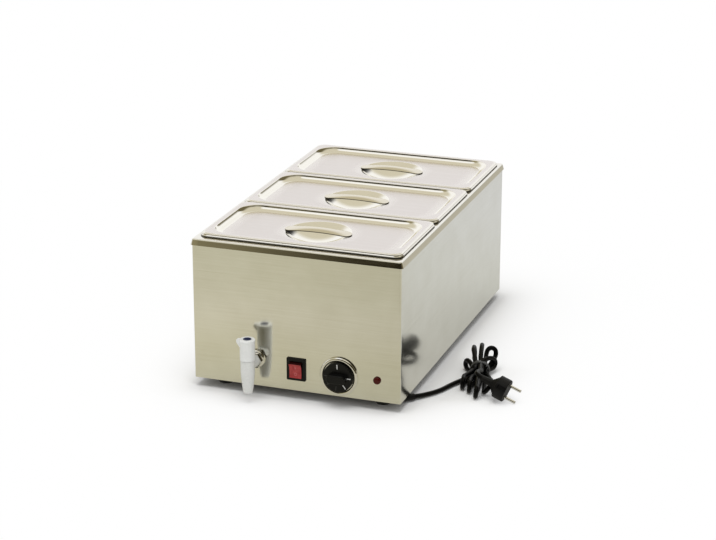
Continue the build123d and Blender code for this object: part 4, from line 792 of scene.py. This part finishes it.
cordData = bpy.data.curves.new("mains_cord", "CURVE")
cordData.dimensions = "3D"
spline = cordData.splines.new("NURBS")
spline.points.add(len(cordPoints) - 1)
spline.points.foreach_set("co", np.column_stack([cordPoints, np.ones(len(cordPoints))]).ravel())
spline.order_u = 3
spline.use_endpoint_u = True
spline.resolution_u = cordFacts["pointsBetween"]
cordData.bevel_depth = cordFacts["diameter"] / 2 * mm
cordData.bevel_resolution = cordFacts["roundness"]
cordData.use_fill_caps = True
cordData.materials.append(cordSheath)
mainsCord = bpy.data.objects.new("mains_cord", cordData)
scene.collection.objects.link(mainsCord)
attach(mainsCord, "housing")
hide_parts("power_cord", "cord_hank", "plug_lead")
print("cord of", len(cordPoints), "points")

# White paper floor: pure white far off, shaded close to the object, and beige where the metal mirrors it.
# Places on it are in m.
bodyShade = {"middle": (0.0, 0.023, 0.0), "half": (0.17, 0.28, 1.0)}
hankShade = {"middle": (0.25, -0.1, 0.0), "half": (0.035, 0.07, 1.0)}
floorFacts = {
    "half": 6.0,
    "white": "#FBFBFA",
    "shades": (
        {**bodyShade, "weight": 0.85, "fade": 0.075},
        {**bodyShade, "weight": 0.35, "fade": 0.01},
        {**hankShade, "weight": 0.65, "fade": 0.025},
    ),
    "mirrored": (  # from front to rear
        (-1.0, "#D2CDB5"), (-0.72, "#DAD5BF"), (-0.57, "#E1DBC7"), (-0.42, "#DDD7BE"), (-0.3, "#DAD5BE"),
        (-0.12, "#EDEBE4"), (0.12, "#EAE9E2"), (0.39, "#F4F4EF"), (0.8, "#FFFFFF"),
    ),
    "mirroredReach": 1.0,
    "levels": ((0.1, 0.67), (-0.25, 0.78)),  # brightness of what is mirrored, at the right and at the left
    "olive": "#CAC6B6",
    "oliveFrom": (0.5, 0.9),
    "glow": 0.6,
    "dim": "#6E6850",  # what dull surfaces get of it by way of the metal
}
floorMesh = bpy.data.meshes.new("floor")
floorCorners = floorFacts["half"] * np.array([(-1, -1, 0), (1, -1, 0), (1, 1, 0), (-1, 1, 0)])
floorMesh.from_pydata(floorCorners.tolist(), [], [(0, 1, 2, 3)])
floor = bpy.data.objects.new("floor", floorMesh)
scene.collection.objects.link(floor)
paperWhite, tree = startMaterial("matt white paper")
coords = addNode(tree, "ShaderNodeTexCoord").outputs["Object"]
place = addNode(tree, "ShaderNodeSeparateXYZ", links={0: coords})
ray = addNode(tree, "ShaderNodeLightPath")

# nearness: outside each box it falls as exp(-distance / fade)
shares = []
for shade in floorFacts["shades"]:
    away = addNode(tree, "ShaderNodeVectorMath", {"operation": "SUBTRACT"}, {1: shade["middle"]}, {0: coords})
    away = addNode(tree, "ShaderNodeVectorMath", {"operation": "ABSOLUTE"}, None, {0: away.outputs[0]})
    away = addNode(tree, "ShaderNodeVectorMath", {"operation": "SUBTRACT"}, {1: shade["half"]}, {
        0: away.outputs[0],
    })
    away = addNode(tree, "ShaderNodeVectorMath", {"operation": "MAXIMUM"}, {1: (0.0, 0.0, 0.0)}, {
        0: away.outputs[0],
    })
    distance = addNode(tree, "ShaderNodeVectorMath", {"operation": "LENGTH"}, None, {0: away.outputs[0]})
    fall = addNode(tree, "ShaderNodeMath", {"operation": "POWER"}, {0: math.exp(-1 / shade["fade"])}, {
        1: distance.outputs["Value"],
    })
    share = addNode(tree, "ShaderNodeMath", {"operation": "MULTIPLY"}, {1: shade["weight"]}, {
        0: fall.outputs[0],
    })
    shares.append(share.outputs[0])
near = shares[0]
for share in shares[1:]:
    near = addNode(tree, "ShaderNodeMath", {"operation": "ADD", "use_clamp": True}, None, {
        0: near, 1: share,
    }).outputs[0]
paper = addNode(tree, "ShaderNodeBsdfDiffuse", values={"Color": linear(floorFacts["white"])})
farWhite = addNode(tree, "ShaderNodeEmission", values={"Color": grey(1.0)})
seen = addNode(tree, "ShaderNodeMixShader", links={0: near, 1: farWhite.outputs[0], 2: paper.outputs[0]})

# what the metal mirrors: tones from front to rear, brighter at the left, and olive far to the right
reach = floorFacts["mirroredReach"]
depth = addNode(tree, "ShaderNodeMapRange", links={"Value": place.outputs["Y"]}, values={
    "From Min": -reach, "From Max": reach,
})
tone = addNode(tree, "ShaderNodeValToRGB", links={"Fac": depth.outputs[0]}, stops=[
    ((y / reach + 1) / 2, linear(colour)) for y, colour in floorFacts["mirrored"]
])
(rightX, rightLevel), (leftX, leftLevel) = floorFacts["levels"]
level = addNode(tree, "ShaderNodeMapRange", links={"Value": place.outputs["X"]}, values={
    "From Min": rightX, "From Max": leftX, "To Min": rightLevel, "To Max": leftLevel,
})
tone = addNode(tree, "ShaderNodeVectorMath", {"operation": "SCALE"}, None, {
    0: tone.outputs[0], "Scale": level.outputs[0],
})
farRight = addNode(tree, "ShaderNodeMapRange", links={"Value": place.outputs["X"]}, values={
    "From Min": floorFacts["oliveFrom"][0], "From Max": floorFacts["oliveFrom"][1],
})
tone = addNode(tree, "ShaderNodeMix", {"data_type": "RGBA"}, {7: linear(floorFacts["olive"])}, {
    0: farRight.outputs[0], 6: tone.outputs[0],
})
tinted = addNode(tree, "ShaderNodeBsdfDiffuse", links={"Color": tone.outputs[2]})
glow = addNode(tree, "ShaderNodeEmission", links={"Color": tone.outputs[2]})
mirrored = addNode(tree, "ShaderNodeMixShader", values={0: floorFacts["glow"]}, links={
    1: tinted.outputs[0], 2: glow.outputs[0],
})
dim = addNode(tree, "ShaderNodeBsdfDiffuse", values={"Color": linear(floorFacts["dim"])})
bounced = addNode(tree, "ShaderNodeMath", {"operation": "GREATER_THAN"}, {1: 0.5}, {
    0: ray.outputs["Diffuse Depth"],
})
mirrored = addNode(tree, "ShaderNodeMixShader", links={
    0: bounced.outputs[0], 1: mirrored.outputs[0], 2: dim.outputs[0],
})
surface = addNode(tree, "ShaderNodeMixShader", links={
    0: ray.outputs["Is Camera Ray"], 1: paper.outputs[0], 2: seen.outputs[0],
})
surface = addNode(tree, "ShaderNodeMixShader", links={
    0: ray.outputs["Is Glossy Ray"], 1: surface.outputs[0], 2: mirrored.outputs[0],
})
addNode(tree, "ShaderNodeOutputMaterial", links={"Surface": surface.outputs[0]})
floorMesh.materials.append(paperWhite)

# One large soft lamp overhead, a little in front
lampFacts = {"place": (0.1, -0.5, 2.3), "size": 1.6, "power": 29.0}
lampData = bpy.data.lights.new("soft_lamp", "AREA")
lampData.shape = "SQUARE"
lampData.size = lampFacts["size"]
lampData.energy = lampFacts["power"]
lamp = bpy.data.objects.new("soft_lamp", lampData)
scene.collection.objects.link(lamp)
lamp.location = lampFacts["place"]
lamp.visible_glossy = False

# White room: metal sees it pale behind, beige overhead, brown at the right and dark in front with a warm left
# end, and one bright ceiling panel. Each fade runs between two values of a direction's component.
room = {
    "light": 0.62,
    "pale": "#FFFFFF",
    "beige": "#D5CFBB",
    "brown": "#6A6248",
    "warm": "#8F8768",
    "dark": "#241F12",
    "panel": (-0.3, -0.36, 0.88),
    "panelEdge": (0.95, 0.98),
}
roomFades = {
    "overhead": ("Z", 0.42, 0.72),
    "belowCeiling": ("Z", 0.88, 0.64),
    "front": ("Y", -0.12, -0.5),
    "right": ("X", 0.35, 0.46),
    "pastLeft": ("X", -0.42, -0.3),
}
world = bpy.data.worlds.new("room")
scene.world = world
world.use_nodes = True
tree = world.node_tree
tree.nodes.clear()
direction = addNode(tree, "ShaderNodeTexCoord").outputs["Generated"]
toward = addNode(tree, "ShaderNodeSeparateXYZ", links={0: direction})
fades = {}
for name, (axis, start, end) in roomFades.items():
    fade = addNode(tree, "ShaderNodeMapRange", {"interpolation_type": "SMOOTHSTEP"}, {
        "From Min": start, "From Max": end,
    }, {"Value": toward.outputs[axis]})
    fades[name] = fade.outputs[0]
inFront = addNode(tree, "ShaderNodeMath", {"operation": "MULTIPLY"}, None, {
    0: fades["front"], 1: fades["belowCeiling"],
})
atRight = addNode(tree, "ShaderNodeMath", {"operation": "MULTIPLY"}, None, {
    0: fades["right"], 1: fades["belowCeiling"],
})
toPanel = addNode(tree, "ShaderNodeVectorMath", {"operation": "DOT_PRODUCT"}, {1: room["panel"]}, {
    0: direction,
})
onPanel = addNode(tree, "ShaderNodeMapRange", {"interpolation_type": "SMOOTHSTEP"}, {
    "From Min": room["panelEdge"][0], "From Max": room["panelEdge"][1],
}, {"Value": toPanel.outputs["Value"]})
frontShade = addNode(tree, "ShaderNodeMix", {"data_type": "RGBA"}, {
    6: linear(room["warm"]), 7: linear(room["dark"]),
}, {0: fades["pastLeft"]})
sky = addNode(tree, "ShaderNodeMix", {"data_type": "RGBA"}, {
    6: linear(room["pale"]), 7: linear(room["beige"]),
}, {0: fades["overhead"]})
sky = addNode(tree, "ShaderNodeMix", {"data_type": "RGBA"}, {7: linear(room["brown"])}, {
    0: atRight.outputs[0], 6: sky.outputs[2],
})
sky = addNode(tree, "ShaderNodeMix", {"data_type": "RGBA"}, None, {
    0: inFront.outputs[0], 6: sky.outputs[2], 7: frontShade.outputs[2],
})
sky = addNode(tree, "ShaderNodeMix", {"data_type": "RGBA"}, {7: linear(room["pale"])}, {
    0: onPanel.outputs[0], 6: sky.outputs[2],
})
ray = addNode(tree, "ShaderNodeLightPath")
mirrorRay = addNode(tree, "ShaderNodeMath", {"operation": "MAXIMUM"}, None, {
    0: ray.outputs["Is Glossy Ray"], 1: ray.outputs["Is Transmission Ray"],
})
lighting = addNode(tree, "ShaderNodeBackground", values={"Color": grey(1.0), "Strength": room["light"]})
reflected = addNode(tree, "ShaderNodeBackground", values={"Strength": 1.0}, links={"Color": sky.outputs[2]})
backdrop = addNode(tree, "ShaderNodeBackground", values={"Color": grey(1.0), "Strength": 1.0})
around = addNode(tree, "ShaderNodeMixShader", links={
    0: mirrorRay.outputs[0], 1: lighting.outputs[0], 2: reflected.outputs[0],
})
around = addNode(tree, "ShaderNodeMixShader", links={
    0: ray.outputs["Is Camera Ray"], 1: around.outputs[0], 2: backdrop.outputs[0],
})
addNode(tree, "ShaderNodeOutputWorld", links={"Surface": around.outputs[0]})
print("lit")
